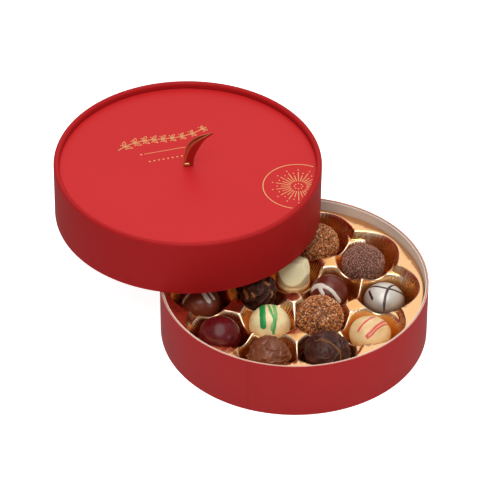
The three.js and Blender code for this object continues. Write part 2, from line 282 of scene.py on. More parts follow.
class Finish:
    """One material: a principled shader and the nodes that feed it."""

    def __init__(self, name, **constants):
        self.material = bpy.data.materials.new(name)
        self.material.use_nodes = True
        self.tree = self.material.node_tree
        self.shader = self.tree.nodes["Principled BSDF"]
        for socket, value in constants.items():
            self.set(socket.replace("_", " ").title().replace("Ior", "IOR"), value)
        self.place = self.wire("ShaderNodeTexCoord", output="Object")

    def set(self, socket, value):
        plug(self.tree, self.shader.inputs[socket], value)

    def wire(self, kind, settings=None, inputs=None, output=0):
        """Adds a node, sets it up, fills its sockets, and gives one of its outputs."""
        node = self.tree.nodes.new(kind)
        for key, value in (settings or {}).items():
            if key == "stops":
                while len(node.color_ramp.elements) < len(value):
                    node.color_ramp.elements.new(1.0)
                for element, (position, shade) in zip(node.color_ramp.elements, value):
                    element.position = position
                    element.color = (*shade, 1.0)
            else:
                setattr(node, key, value)
        for key, value in (inputs or {}).items():
            plug(self.tree, node.inputs[key], value)
        return Wire(self.tree, node.outputs[output])

    def noise(self, size, detail=4.0, roughness=0.55):
        """Noise whose features are about size metres across."""
        return self.wire("ShaderNodeTexNoise", inputs={
            "Vector": self.place, "Scale": 1.0 / size, "Detail": detail, "Roughness": roughness,
        })

    def ramp(self, factor, stops):
        return self.wire("ShaderNodeValToRGB", {"stops": stops}, {"Fac": factor}, "Color")

    def mix(self, factor, first, second):
        """Mixes two colours. The node's colour sockets are its seventh and eighth inputs."""
        return self.wire("ShaderNodeMix", {"data_type": "RGBA"}, {0: factor, 6: first, 7: second}, 2)

    def span(self, value, low, high, to_low=0.0, to_high=1.0):
        """Maps a value smoothly from one range to another, and holds it there."""
        return self.wire(
            "ShaderNodeMapRange", {"interpolation_type": "SMOOTHSTEP"},
            {"Value": value, "From Min": low, "From Max": high, "To Min": to_low, "To Max": to_high},
        )

    def attribute(self, name):
        return self.wire("ShaderNodeAttribute", {"attribute_name": name}, output="Fac")

    def axis(self, letter):
        return self.wire("ShaderNodeSeparateXYZ", inputs={"Vector": self.place}, output=letter)

    def bump(self, height, distance, strength=1.0):
        """Feeds the shader's normal from a height; further calls add finer relief on top."""
        inputs = {"Height": height, "Distance": distance, "Strength": strength}
        linked = self.shader.inputs["Normal"].links
        if linked:
            inputs["Normal"] = Wire(self.tree, linked[0].from_socket)
        self.set("Normal", self.wire("ShaderNodeBump", inputs=inputs))


def tinted(shade, *factors):
    """A shade times one factor, or times a factor for each channel, held at white."""
    if len(factors) == 1:
        factors *= 3
    return tuple(min(1.0, channel * factor) for channel, factor in zip(shade, factors))


# Mesh helpers


def mesh_of(bm, name):
    """Turns a bmesh into a mesh, and frees it."""
    mesh = bpy.data.meshes.new(name)
    bm.to_mesh(mesh)
    bm.free()
    return mesh


def take_in(bm, part, name):
    """Moves the whole of one bmesh into another."""
    mesh = mesh_of(part, name)
    bm.from_mesh(mesh)
    bpy.data.meshes.remove(mesh)


def finished(bm, name, finishes, node, smooth_angle):
    """Makes a piece of a bmesh."""
    return placed(mesh_of(bm, name), name, finishes, node, smooth_angle)


def placed(mesh, name, finishes, node, smooth_angle=None):
    """Makes a piece of a mesh. It rides on the box and stands for its node."""
    for finish in finishes:
        mesh.materials.append(finish.material)
    mesh.polygons.foreach_set("use_smooth", [True] * len(mesh.polygons))
    if smooth_angle is not None:
        mesh.set_sharp_from_angle(angle=smooth_angle)
    piece = bpy.data.objects.new(name, mesh)
    bpy.context.scene.collection.objects.link(piece)
    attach(piece, "root")
    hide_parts(node)
    slot_of(node)
    return piece


def slot_of(node):
    for part in frame["record"]["subparts"]:
        if part["node"] == node:
            return part["material_slot"]
    raise ValueError(f"no subpart is named {node}")


def spun(profile, steps=ROUND_STEPS, closed=False):
    """A bmesh turned about Z from (radius, height) points. A closed profile makes a ring."""
    bm = bmesh.new()
    verts = [bm.verts.new((radius, 0.0, height)) for radius, height in profile]
    edges = [bm.edges.new(pair) for pair in zip(verts, verts[1:])]
    if closed:
        edges.append(bm.edges.new((verts[-1], verts[0])))
    bmesh.ops.spin(
        bm, geom=verts + edges, cent=(0, 0, 0), axis=(0, 0, 1), angle=FULL_TURN, steps=steps,
        use_merge=True, use_duplicate=False,
    )
    bmesh.ops.remove_doubles(bm, verts=bm.verts, dist=1e-7)
    bmesh.ops.recalc_face_normals(bm, faces=bm.faces)
    return bm


def rounded(profile, radius, steps=4):
    """Rounds every corner of a closed profile of (radius, height) points."""
    rounded_points = []
    count = len(profile)
    # A little over two, so that the cuts at an edge's two ends stay apart
    apart = 2.1
    for i, corner in enumerate(profile):
        at = Vector(corner)
        before = Vector(profile[i - 1]) - at
        after = Vector(profile[(i + 1) % count]) - at
        cut = min(radius, before.length / apart, after.length / apart)
        start = at + before.normalized() * cut
        end = at + after.normalized() * cut
        for step in range(steps + 1):
            t = step / steps
            point = start * (1 - t) ** 2 + at * (2 * t * (1 - t)) + end * t ** 2
            rounded_points.append((point.x, point.y))
    return rounded_points


def bezier(knots, t):
    """A place on a cubic curve that starts at its first knot and ends at its last."""
    return (
        knots[0] * (1 - t) ** 3 + knots[1] * 3 * t * (1 - t) ** 2
        + knots[2] * 3 * t * t * (1 - t) + knots[3] * t ** 3
    )


def bezier_heading(knots, t):
    """The direction of the same curve at that place."""
    return (
        (knots[1] - knots[0]) * 3 * (1 - t) ** 2 + (knots[2] - knots[1]) * 6 * t * (1 - t)
        + (knots[3] - knots[2]) * 3 * t * t
    ).normalized()


def colour_faces(bm, test, index):
    """Gives the faces whose middle and normal pass the test another material slot."""
    for face in bm.faces:
        if test(face.calc_center_median(), face.normal):
            face.material_index = index


# Card, film and ribbon finishes


def red_paper(name, colours, shine, depth=1.0, seam=None):
    """Soft-touch red paper with a fine tooth, and the overlap of its ends as a thin upright line.

    The seam is the line's X, and the Y that it stays in front of. A depth below one paints the whole sheet
    darker: painted shade for a wall that catches less light than the panel.
    """
    paper = Finish(name, roughness=0.42, specular_ior_level=shine)
    red = tinted(colours.red, depth)
    fibres = paper.noise(0.55 * MM, detail=5.0, roughness=0.7)
    clouds = paper.noise(60 * MM, detail=1.0)
    base = paper.mix(clouds, tinted(red, 0.96), tinted(red, 1.03))
    tone = paper.mix(0.12 * fibres, base, (0.66 * depth, 0.035, 0.035))
    if seam is not None:
        across, behind = seam
        beside = (paper.axis("X") - across).size()
        line = paper.span(beside, 0.15 * MM, 0.5 * MM, 0.22, 0.0) * paper.axis("Y").below(behind)
        tone = paper.mix(line, tone, tinted(red, 0.35))
    paper.set("Base Color", tone)
    paper.set("Roughness", 0.38 + 0.10 * fibres)
    paper.bump(fibres, 0.015 * MM, 0.4)
    return paper


def card_edge(colours):
    """The cut edge of the card: cream with a fibrous, slightly uneven tone."""
    edge = Finish("card edge", roughness=0.85)
    cream = tuple(colours.cream)
    fibres = edge.noise(0.5 * MM, detail=3.0)
    edge.set("Base Color", edge.mix(fibres, tinted(cream, 0.86), cream))
    edge.bump(fibres, 0.05 * MM, 0.5)
    return edge


def lining_paper(colours):
    """Uncoated grey-cream paper inside the box, faintly clouded."""
    paper = Finish("lining paper", roughness=0.8, specular_ior_level=0.25)
    shade = tuple(colours.lining)
    clouds = paper.noise(22 * MM, detail=4.0)
    fibres = paper.noise(0.4 * MM, detail=4.0, roughness=0.7)
    base = paper.mix(clouds, tinted(shade, 0.9), tinted(shade, 1.08))
    paper.set("Base Color", paper.mix(0.22 * fibres, base, (0.66, 0.60, 0.52)))
    paper.bump(fibres, 0.03 * MM, 0.5)
    return paper


def gold_film(colours):
    """Mirror-like gold film, a little hazed and wavy from the mould, with a painted pale highlight along its
    ridges.
    """
    film = Finish("gold film", metallic=1.0, roughness=0.2)
    gold = tuple(colours.gold)
    clouds = film.noise(9 * MM, detail=2.0)
    crest = film.attribute("crest")
    # Pale is a painted highlight, laid on where the crest mask says the film turns over a ridge or shoulder
    pale = (1.0, 0.92, 0.80)
    body = film.mix(clouds, tinted(gold, 0.92), gold)
    film.set("Base Color", film.mix(0.75 * crest, body, pale))
    film.set("Roughness", 0.14 + 0.12 * film.noise(5 * MM, detail=2.0) + 0.12 * crest)
    film.bump(film.noise(7 * MM, detail=1.0), 0.08 * MM, 0.3)
    return film


def gold_foil(colours):
    """Hot-stamped gold foil, slightly rubbed."""
    foil = Finish("gold foil", metallic=0.65, roughness=0.38)
    gold = tuple(colours.foil)
    rubs = foil.noise(1.2 * MM, detail=3.0)
    foil.set("Base Color", foil.mix(rubs, tinted(gold, 0.85), gold))
    foil.set("Roughness", 0.32 + 0.12 * rubs)
    return foil


def ribbon_satin(colours):
    """Satin with a woven rib and a metallic gold band along one edge."""
    satin = Finish("ribbon satin", roughness=0.38, sheen_weight=0.15, sheen_roughness=0.4)
    across = satin.attribute("across")
    along = satin.attribute("along")
    threads_per_leg, band_from = 60, 0.76
    threads = (along * (FULL_TURN * threads_per_leg)).sine()
    band = across.above(band_from)
    red = tuple(colours.ribbon)
    gold = (0.64, 0.33, 0.12)
    cloth = satin.mix(0.5 + 0.5 * threads, tinted(red, 0.8), red)
    satin.set("Base Color", satin.mix(band, cloth, gold))
    satin.set("Metallic", 0.85 * band)
    satin.set("Roughness", 0.40 - 0.08 * band)
    satin.bump(0.5 + 0.5 * threads, 0.03 * MM, 0.5)
    return satin


# Chocolate finishes


def chocolate(name, base, bloom, roughness=0.36, relief=0.05, shine=0.12, level=0.4):
    """A chocolate coat: a slow change of tone, dull bloom, and soft waves left as it set."""
    coat = Finish(
        name, roughness=roughness, specular_ior_level=level, coat_weight=shine, coat_roughness=0.22,
    )
    clouds = coat.noise(7 * MM, detail=4.0)
    specks = coat.noise(0.7 * MM, detail=3.0)
    tone = coat.mix(coat.span(clouds, 0.35, 0.7), base, bloom)
    coat.set("Base Color", coat.mix(0.18 * specks, tone, bloom))
    coat.set("Roughness", (roughness - 0.06) + 0.14 * clouds)
    coat.bump(coat.noise(3.5 * MM, detail=2.0), relief * MM, 0.5)
    coat.bump(specks, 0.02 * MM, 0.4)
    return coat


def with_drizzle(coat, drizzles):
    """Lays drizzle colours over a coat, each where its own attribute says."""
    tone = Wire(coat.tree, coat.shader.inputs["Base Color"].links[0].from_socket)
    for name, shade in drizzles:
        streaks = coat.noise(1.1 * MM, detail=2.0)
        paint = coat.mix(streaks, tinted(shade, 0.85), tinted(shade, 1.12))
        tone = coat.mix(coat.attribute(name), tone, paint)
    coat.set("Base Color", tone)


# Praline surfaces worked on as arrays of points


class Crown:
    """A praline's form: foot, waist and top about its own upright axis."""

    # The lower half's depth over its visible part, as the foot is cut off flat
    FOOT_DEPTH = 1.45

    def __init__(self, node, radius, waist, top):
        middle = node_middle(node)
        self.node = node
        self.x, self.y = middle.x, middle.y
        self.radius = radius * MM
        self.waist = waist * MM
        self.top = top * MM
        self.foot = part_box(node)[0][2]

    def shape(self, directions):
        """Points and outward normals of the plain form for unit directions."""
        flat = directions[:, 2]
        rise = self.top - self.waist
        drop = (self.waist - self.foot) * self.FOOT_DEPTH
        height = self.waist + np.where(flat > 0, rise, drop) * flat
        points = np.column_stack((directions[:, 0] * self.radius, directions[:, 1] * self.radius, height))
        steep = np.where(flat > 0, rise, drop)
        normals = np.column_stack(
            (directions[:, 0] / self.radius, directions[:, 1] / self.radius, flat / steep)
        )
        normals /= np.linalg.norm(normals, axis=1)[:, None]
        return points, normals

    def height_at(self, x, y):
        """The height of the plain form's upper half over a place in plan."""
        out = min(math.hypot(x, y) / self.radius, 1.0)
        return self.waist + (self.top - self.waist) * math.sqrt(1.0 - out * out)

    def settle(self, points):
        """Flattens the foot and moves the praline to its cup."""
        points[:, 2] = np.maximum(points[:, 2], self.foot)
        points[:, 0] += self.x
        points[:, 1] += self.y
        return points


def unit_ball(level):
    """A ball of unit directions as a bmesh."""
    bm = bmesh.new()
    bmesh.ops.create_icosphere(bm, subdivisions=level, radius=1.0)
    return bm


def get_points(mesh):
    flat = np.empty(len(mesh.vertices) * 3)
    mesh.vertices.foreach_get("co", flat)
    return flat.reshape(-1, 3)


def set_points(mesh, points):
    mesh.vertices.foreach_set("co", points.ravel())
    mesh.update()


def store(mesh, name, values):
    """Keeps a value for each point, for a material to read."""
    mesh.attributes.new(name, "FLOAT", "POINT").data.foreach_set("value", values)


def smooth_route(route, crown, samples=70):
    """Points along a smooth line through (x, y) places in millimetres, lifted onto a crown."""
    ends = [route[0], *route, route[-1]]
    line = []
    for a, b, c, d in zip(ends, ends[1:], ends[2:], ends[3:]):
        for step in range(samples // (len(route) - 1)):
            t = step * (len(route) - 1) / samples
            weights = (
                -0.5 * t + t * t - 0.5 * t ** 3, 1 - 2.5 * t * t + 1.5 * t ** 3,
                0.5 * t + 2 * t * t - 1.5 * t ** 3, -0.5 * t * t + 0.5 * t ** 3,
            )
            x = sum(w * p[0] for w, p in zip(weights, (a, b, c, d))) * MM
            y = sum(w * p[1] for w, p in zip(weights, (a, b, c, d))) * MM
            line.append((x, y, crown.height_at(x, y)))
    return np.array(line)


def distance_to(points, line, widths):
    """For each point, its distance to the line in units of the line's half width there."""
    best = np.full(len(points), np.inf)
    for place, width in zip(line, widths):
        best = np.minimum(best, np.linalg.norm(points - place, axis=1) / (width / 2))
    return best


def add_drizzle(mesh, points, normals, crown, name, stripes):
    """Raises stripes on the surface and stores where they lie for the material."""
    mask = np.zeros(len(points))
    lift = np.zeros(len(points))
    for width, proud, route in stripes:
        line = smooth_route(route, crown)
        wobble = [noise.noise(Vector((i * 0.13, width, proud))) for i in range(len(line))]
        taper = np.minimum(1.0, 0.45 + 4.0 * np.minimum(np.linspace(0, 1, len(line)), 0.25))
        widths = width * MM * (1 + 0.18 * np.array(wobble)) * taper
        reach = distance_to(points, line, widths)
        mask = np.maximum(mask, np.clip((1.08 - reach) / 0.16, 0, 1))
        lift = np.maximum(lift, proud * MM * np.sqrt(np.clip(1 - reach ** 2, 0, 1)))
    store(mesh, name, mask)
    return points + normals * lift[:, None]


def relief(points, size, octaves=4, seed=0.0, ridged=False):
    """Fractal noise at each point, about -1 to 1."""
    shift = Vector((seed, seed * 1.7, -seed))
    values = np.empty(len(points))
    for i, point in enumerate(points):
        at = Vector(point) / size + shift
        if ridged:
            values[i] = noise.ridged_multi_fractal(at, 1.0, 2.0, octaves, 1.0, 2.0) - 1.0
        else:
            values[i] = noise.fractal(at, 1.0, 2.0, octaves)
    return values


def coated_praline(crown, name, finishes, level, drizzles=(), waves=0.12, seed=1.0):
    """A moulded praline with a thin set coat and any drizzles over it."""
    mesh = mesh_of(unit_ball(level), name)
    points, normals = crown.shape(get_points(mesh))
    points += normals * (waves * MM * relief(points, 9 * MM, 2, seed))[:, None]
    for attribute, stripes in drizzles:
        points = add_drizzle(mesh, points, normals, crown, attribute, stripes)
    set_points(mesh, crown.settle(points))
    return placed(mesh, name, finishes, crown.node)


# The box


class BOX_OT_base(Operator):
    """Models the base: red wall with a cream rim, the lining inside it, and the bottom"""

    bl_idname = "pralines.base"
    bl_label = "Base"

    def execute(self, context):
        sizes = context.scene.box_sizes
        colours = context.scene.box_colours
        # Depth 0.88 paints the base's wall darker than the panel's paper: painted shade
        paper = red_paper("red paper, base", colours, 0.24, 0.88, seam=(-31 * MM, 29 * MM))
        edge = card_edge(colours)
        lining = lining_paper(colours)
        outer, height = sizes.base_radius, sizes.base_height
        inner = outer - sizes.base_card
        wall = [(outer, 0), (outer, height), (inner, height), (inner, 0)]
        bm = spun(rounded(wall, sizes.edge_round), closed=True)
        rim = height - sizes.edge_round
        facing_up, within = 0.75, inner + 0.2 * MM
        colour_faces(bm, lambda at, normal: at.z > rim and normal.z > facing_up, 1)
        colour_faces(bm, lambda at, normal: at.xy.length < within and at.z < rim, 2)
        finished(bm, "base_wall_paper", [paper, edge, lining], "base_wall", CARD_CREASE)

        low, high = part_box("base_lining")
        sleeve = (high[0] - low[0]) / 2
        top = height - sizes.lining_drop
        inside = sleeve - sizes.lining_card
        ring = [(sleeve, low[2]), (sleeve, top), (inside, top), (inside, low[2])]
        sleeve_round = 0.2 * MM
        bm = spun(rounded(ring, sleeve_round), closed=True)
        finished(bm, "base_lining_paper", [lining], "base_lining", CARD_CREASE)

        low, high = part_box("base_bottom")
        radius = (high[0] - low[0]) / 2
        cut = 0.3 * MM
        under = [(0, low[2]), (radius - cut, low[2]), (radius, low[2] + cut)]
        bm = spun(under + [(radius, high[2]), (0, high[2])])
        finished(bm, "base_bottom_card", [lining], "base_bottom", CARD_CREASE)
        return {"FINISHED"}


def lid_place(scene):
    """The lid's place: tipped about the line through the two spots where it rests on the rim."""
    sizes = scene.lid_sizes
    rim = scene.box_sizes.base_height
    gap = 0.3 * MM
    outward = Vector((math.cos(sizes.bearing), math.sin(sizes.bearing), 0))
    chord = Vector((-outward.y, outward.x, 0))
    turn = Matrix.Rotation(-sizes.tilt, 4, chord)
    rest = outward * (sizes.offset / 2) + Vector((0, 0, rim + gap))
    return Matrix.Translation(rest + turn @ (outward * (sizes.offset / 2))) @ turn


class BOX_OT_lid(Operator):
    """Models the lid: its wall rolled over into a bead, and the panel sunk inside it"""

    bl_idname = "pralines.lid"
    bl_label = "Lid"

    def execute(self, context):
        sizes = context.scene.lid_sizes
        colours = context.scene.box_colours
        # Depth 0.76 paints the lid's wall darker than its panel of the same paper: painted shade
        paper = red_paper("red paper, lid", colours, 0.07, 0.76, seam=(10 * MM, 70 * MM))
        place = lid_place(context.scene)
        cut, gap = 0.2 * MM, 0.3 * MM
        outside = sizes.radius
        inside = outside - sizes.card
        lip = outside - sizes.bead
        half = sizes.bead / 2
        under = sizes.height - sizes.panel_depth + gap
        profile = [(inside, cut), (inside + cut, 0), (outside - cut, 0), (outside, cut)]
        steps = 14
        for step in range(steps + 1):
            turn = math.pi * step / steps
            profile.append(
                (outside - half + half * math.cos(turn), sizes.height - half + half * math.sin(turn))
            )
        profile += [(lip, under + cut), (lip + cut, under), (inside, under)]
        bm = spun(profile, closed=True)
        bm.transform(place)
        finished(bm, "lid_wall_paper", [paper], "lid_wall", CARD_CREASE)

        top = sizes.height - sizes.panel_depth
        radius = inside - gap
        bm = spun([(0, top - sizes.panel_card), (radius, top - sizes.panel_card), (radius, top), (0, top)])
        bm.transform(place)
        panel = red_paper("red paper, panel", colours, 0.14)
        finished(bm, "lid_panel_paper", [panel], "lid_panel", CARD_CREASE)
        return {"FINISHED"}


class BOX_OT_ribbon(Operator):
    """Models the pull ribbon: a folded satin strap that leans over from the middle of the panel"""

    bl_idname = "pralines.ribbon"
    bl_label = "Pull ribbon"

    def execute(self, context):
        sizes = context.scene.lid_sizes
        satin = ribbon_satin(context.scene.box_colours)
        cloth = 0.35 * MM
        bm = bmesh.new()
        bmesh.ops.create_grid(bm, x_segments=10, y_segments=80, size=0.5)
        layers = [bm.verts.layers.float.new(name) for name in ("across", "along")]
        self.strap(bm, layers)
        bmesh.ops.recalc_face_normals(bm, faces=bm.faces)
        bmesh.ops.solidify(bm, geom=bm.faces[:], thickness=cloth)
        bmesh.ops.recalc_face_normals(bm, faces=bm.faces)
        self.knot(bm, layers)
        foot = sizes.height - sizes.panel_depth + cloth
        bm.transform(lid_place(context.scene) @ Matrix.Translation((0, 0, foot)))
        finished(bm, "ribbon_pull", [satin], "ribbon_loop", RIBBON_CREASE)
        return {"FINISHED"}

    def strap(self, bm, layers):
        """Bends a flat grid over: its two legs rise side by side and meet in a fold at the narrow tip."""
        across_layer, along_layer = layers
        foot_width, tip_width, narrows_from = 6.6, 1.6, 0.45
        knots = [Vector(p) * MM for p in ((0.3, 0, 0), (0.6, 0, 13), (5, 0, 20.6), (15.2, 0, 26.2))]
        side = Vector((0, 1, 0))
        for vert in bm.verts:
            across, leg = vert.co.x, 2 * vert.co.y
            rise = 1 - abs(leg)
            outward = bezier_heading(knots, rise).cross(side).normalized()
            ease = min(max((rise - narrows_from) / (1 - narrows_from), 0), 1)
            taper = ease * ease * (3 - 2 * ease)
            width = (foot_width * (1 - taper) + tip_width * taper) * MM
            bulge = (0.9 + 0.8 * math.sin(math.pi * rise)) * MM
            depth = bulge * math.tanh(leg * 9)
            vert[across_layer] = across + 0.5
            vert[along_layer] = leg
            vert.co = bezier(knots, rise) + outward * (across * width) + side * depth

    def knot(self, bm, layers):
        """The small knot at the strap's foot, in the colour of its gold band."""
        shape = Matrix.Diagonal((2.3 * MM, 1.7 * MM, 1.5 * MM, 1))
        place = Vector((-0.6 * MM, -0.6 * MM, 1.2 * MM))
        in_band = 0.9
        made = bmesh.ops.create_icosphere(bm, subdivisions=4, radius=1.0, matrix=shape)
        for vert in made["verts"]:
            fold = math.sin(vert.co.x / (0.55 * MM) + vert.co.y / (0.9 * MM))
            vert[layers[0]] = in_band
            vert.co = vert.co * (1 + 0.10 * fold) + place


def heading(turn):
    return Vector((math.cos(turn), math.sin(turn)))


class FoilStamp:
    """Thin foil shapes on a flat sheet, drawn in millimetres from the middle of the panel."""

    LEAF_STEPS = 10
    LEAF_SWELL = 0.19
    DOT_SEGMENTS = 12

    def __init__(self, reach):
        self.bm = bmesh.new()
        self.reach = reach

    def line(self, route, width):
        """A stroke along (x, y) points, kept inside the panel's edge."""
        route = [Vector(point) for point in route if Vector(point).length < self.reach]
        if len(route) < 2:
            return
        made = bmesh.ops.create_grid(self.bm, x_segments=len(route) - 1, y_segments=1, size=0.5)
        for vert in made["verts"]:
            step = round((vert.co.x + 0.5) * (len(route) - 1))
            ahead = route[min(step + 1, len(route) - 1)] - route[max(step - 1, 0)]
            side = Vector((-ahead.y, ahead.x)).normalized()
            at = route[step] + side * (vert.co.y * width)
            vert.co = (at.x * MM, at.y * MM, 0)

    def dot(self, x, y, radius):
        if math.hypot(x, y) < self.reach:
            place = Matrix.Translation((x * MM, y * MM, 0))
            bmesh.ops.create_circle(
                self.bm, cap_ends=True, segments=self.DOT_SEGMENTS, radius=radius * MM, matrix=place
            )

    def leaf(self, at, turn, size):
        """The outline of a pointed leaf and its midrib, from its stalk outwards."""
        ahead = heading(turn)
        side = Vector((-ahead.y, ahead.x))
        steps = self.LEAF_STEPS
        for hand in (1, -1):
            swell = hand * self.LEAF_SWELL * size
            self.line([
                at + ahead * (size * step / steps) + side * (swell * math.sin(math.pi * step / steps))
                for step in range(steps + 1)
            ], 0.42)
        self.line([at, at + ahead * (size * 0.6)], 0.34)


class BOX_OT_ornament(Operator):
    """Models the gold ornament stamped on the lid's panel: a leafy sprig, dots and a burst of rays"""

    bl_idname = "pralines.ornament"
    bl_label = "Lid ornament"

    def execute(self, context):
        sizes = context.scene.lid_sizes
        bare_edge, thickness, clearance = 1.2, 0.05 * MM, 0.005 * MM
        stamp = FoilStamp((sizes.radius - sizes.bead) / MM - bare_edge)
        self.sprig(stamp)
        self.burst(stamp)
        bm = stamp.bm
        bmesh.ops.recalc_face_normals(bm, faces=bm.faces)
        bmesh.ops.solidify(bm, geom=bm.faces[:], thickness=thickness)
        bmesh.ops.recalc_face_normals(bm, faces=bm.faces)
        level = sizes.height - sizes.panel_depth + thickness + clearance
        bm.transform(lid_place(context.scene) @ Matrix.Translation((0, 0, level)))
        foil = gold_foil(context.scene.box_colours)
        piece = finished(bm, "lid_ornament", [foil], "lid_panel", CARD_CREASE)
        return {"FINISHED"}

    def sprig(self, stamp):
        """A curved stem with pairs of leaves and berries, and under it a line and a row of dots."""
        knots = [Vector(knot) for knot in ((-48, 15), (-28, 37), (-12, 20), (12, 43))]
        steps, pairs = 48, 9
        leaf_turn, berry_turn, berry_stalk = 0.85, 1.7, 2.9
        stamp.line([bezier(knots, step / steps) for step in range(steps + 1)], 0.6)
        for pair in range(pairs):
            t = (pair + 0.6) / pairs
            at = bezier(knots, t)
            ahead = bezier(knots, min(1.0, t + 0.02)) - bezier(knots, t - 0.02)
            turn = math.atan2(ahead.y, ahead.x)
            size = 6.4 - 2.2 * t
            for hand in (1, -1):
                stamp.leaf(at, turn + hand * leaf_turn, size)
                berry = at + heading(turn + hand * berry_turn) * berry_stalk
                stamp.dot(berry.x, berry.y, 0.42)
        stamp.line([(-30, 11.5), (-16, 15.7), (-2, 20)], 0.4)
        for end in ((-32, 10.9), (0, 20.6)):
            stamp.dot(*end, 0.7)
        row_start, row_step, row_dots = Vector((-26, 3.4)), Vector((3.1, 0.95)), 8
        for step in range(row_dots):
            stamp.dot(*(row_start + row_step * step), 0.62)

    def burst(self, stamp):
        """Rays with dots at their tips, a wreath of dots inside, and a ring that the bead cuts off."""
        middle = Vector((75, -22))
        ring_radius, ring_steps = 24, 90
        ring = [
            middle + heading(step * FULL_TURN / ring_steps) * ring_radius for step in range(ring_steps + 1)
        ]
        inside = [point.length < stamp.reach for point in ring]
        start = next(i for i in range(ring_steps) if inside[i] and not inside[i - 1])
        stamp.line([ring[(start + i) % ring_steps] for i in range(sum(inside) - 1)], 0.6)
        rays, ray_steps, root = 28, 6, 5.5
        for ray in range(rays):
            way = heading(ray * FULL_TURN / rays)
            reach = 15.5 if ray % 2 else 12
            stamp.line([
                middle + way * (root + (reach - root) * step / ray_steps) for step in range(ray_steps + 1)
            ], 0.5)
            tip = middle + way * (reach + 2.4)
            stamp.dot(tip.x, tip.y, 0.5)
        wreath_dots, wreath_radius = 8, 2.8
        for step in range(wreath_dots):
            spot = middle + heading(step * FULL_TURN / wreath_dots) * wreath_radius
            stamp.dot(spot.x, spot.y, 0.5)


# The gold tray


def ring_places(count, reach, first):
    """Places in plan, evenly round a ring from a first direction."""
    turns = first + np.arange(count) * FULL_TURN / count
    return reach * np.column_stack((np.cos(turns), np.sin(turns)))


def soft_min(values, softness):
    """The least of the values along the last axis, rounded where two are nearly the same."""
    least = values.min(axis=-1)
    return least - softness * np.log(np.exp((least[..., None] - values) / softness).sum(axis=-1))


def soft_rise(values, softness):
    """Nothing below zero and the value above it, with a rounded foot."""
    return softness * np.logaddexp(0, values / softness)


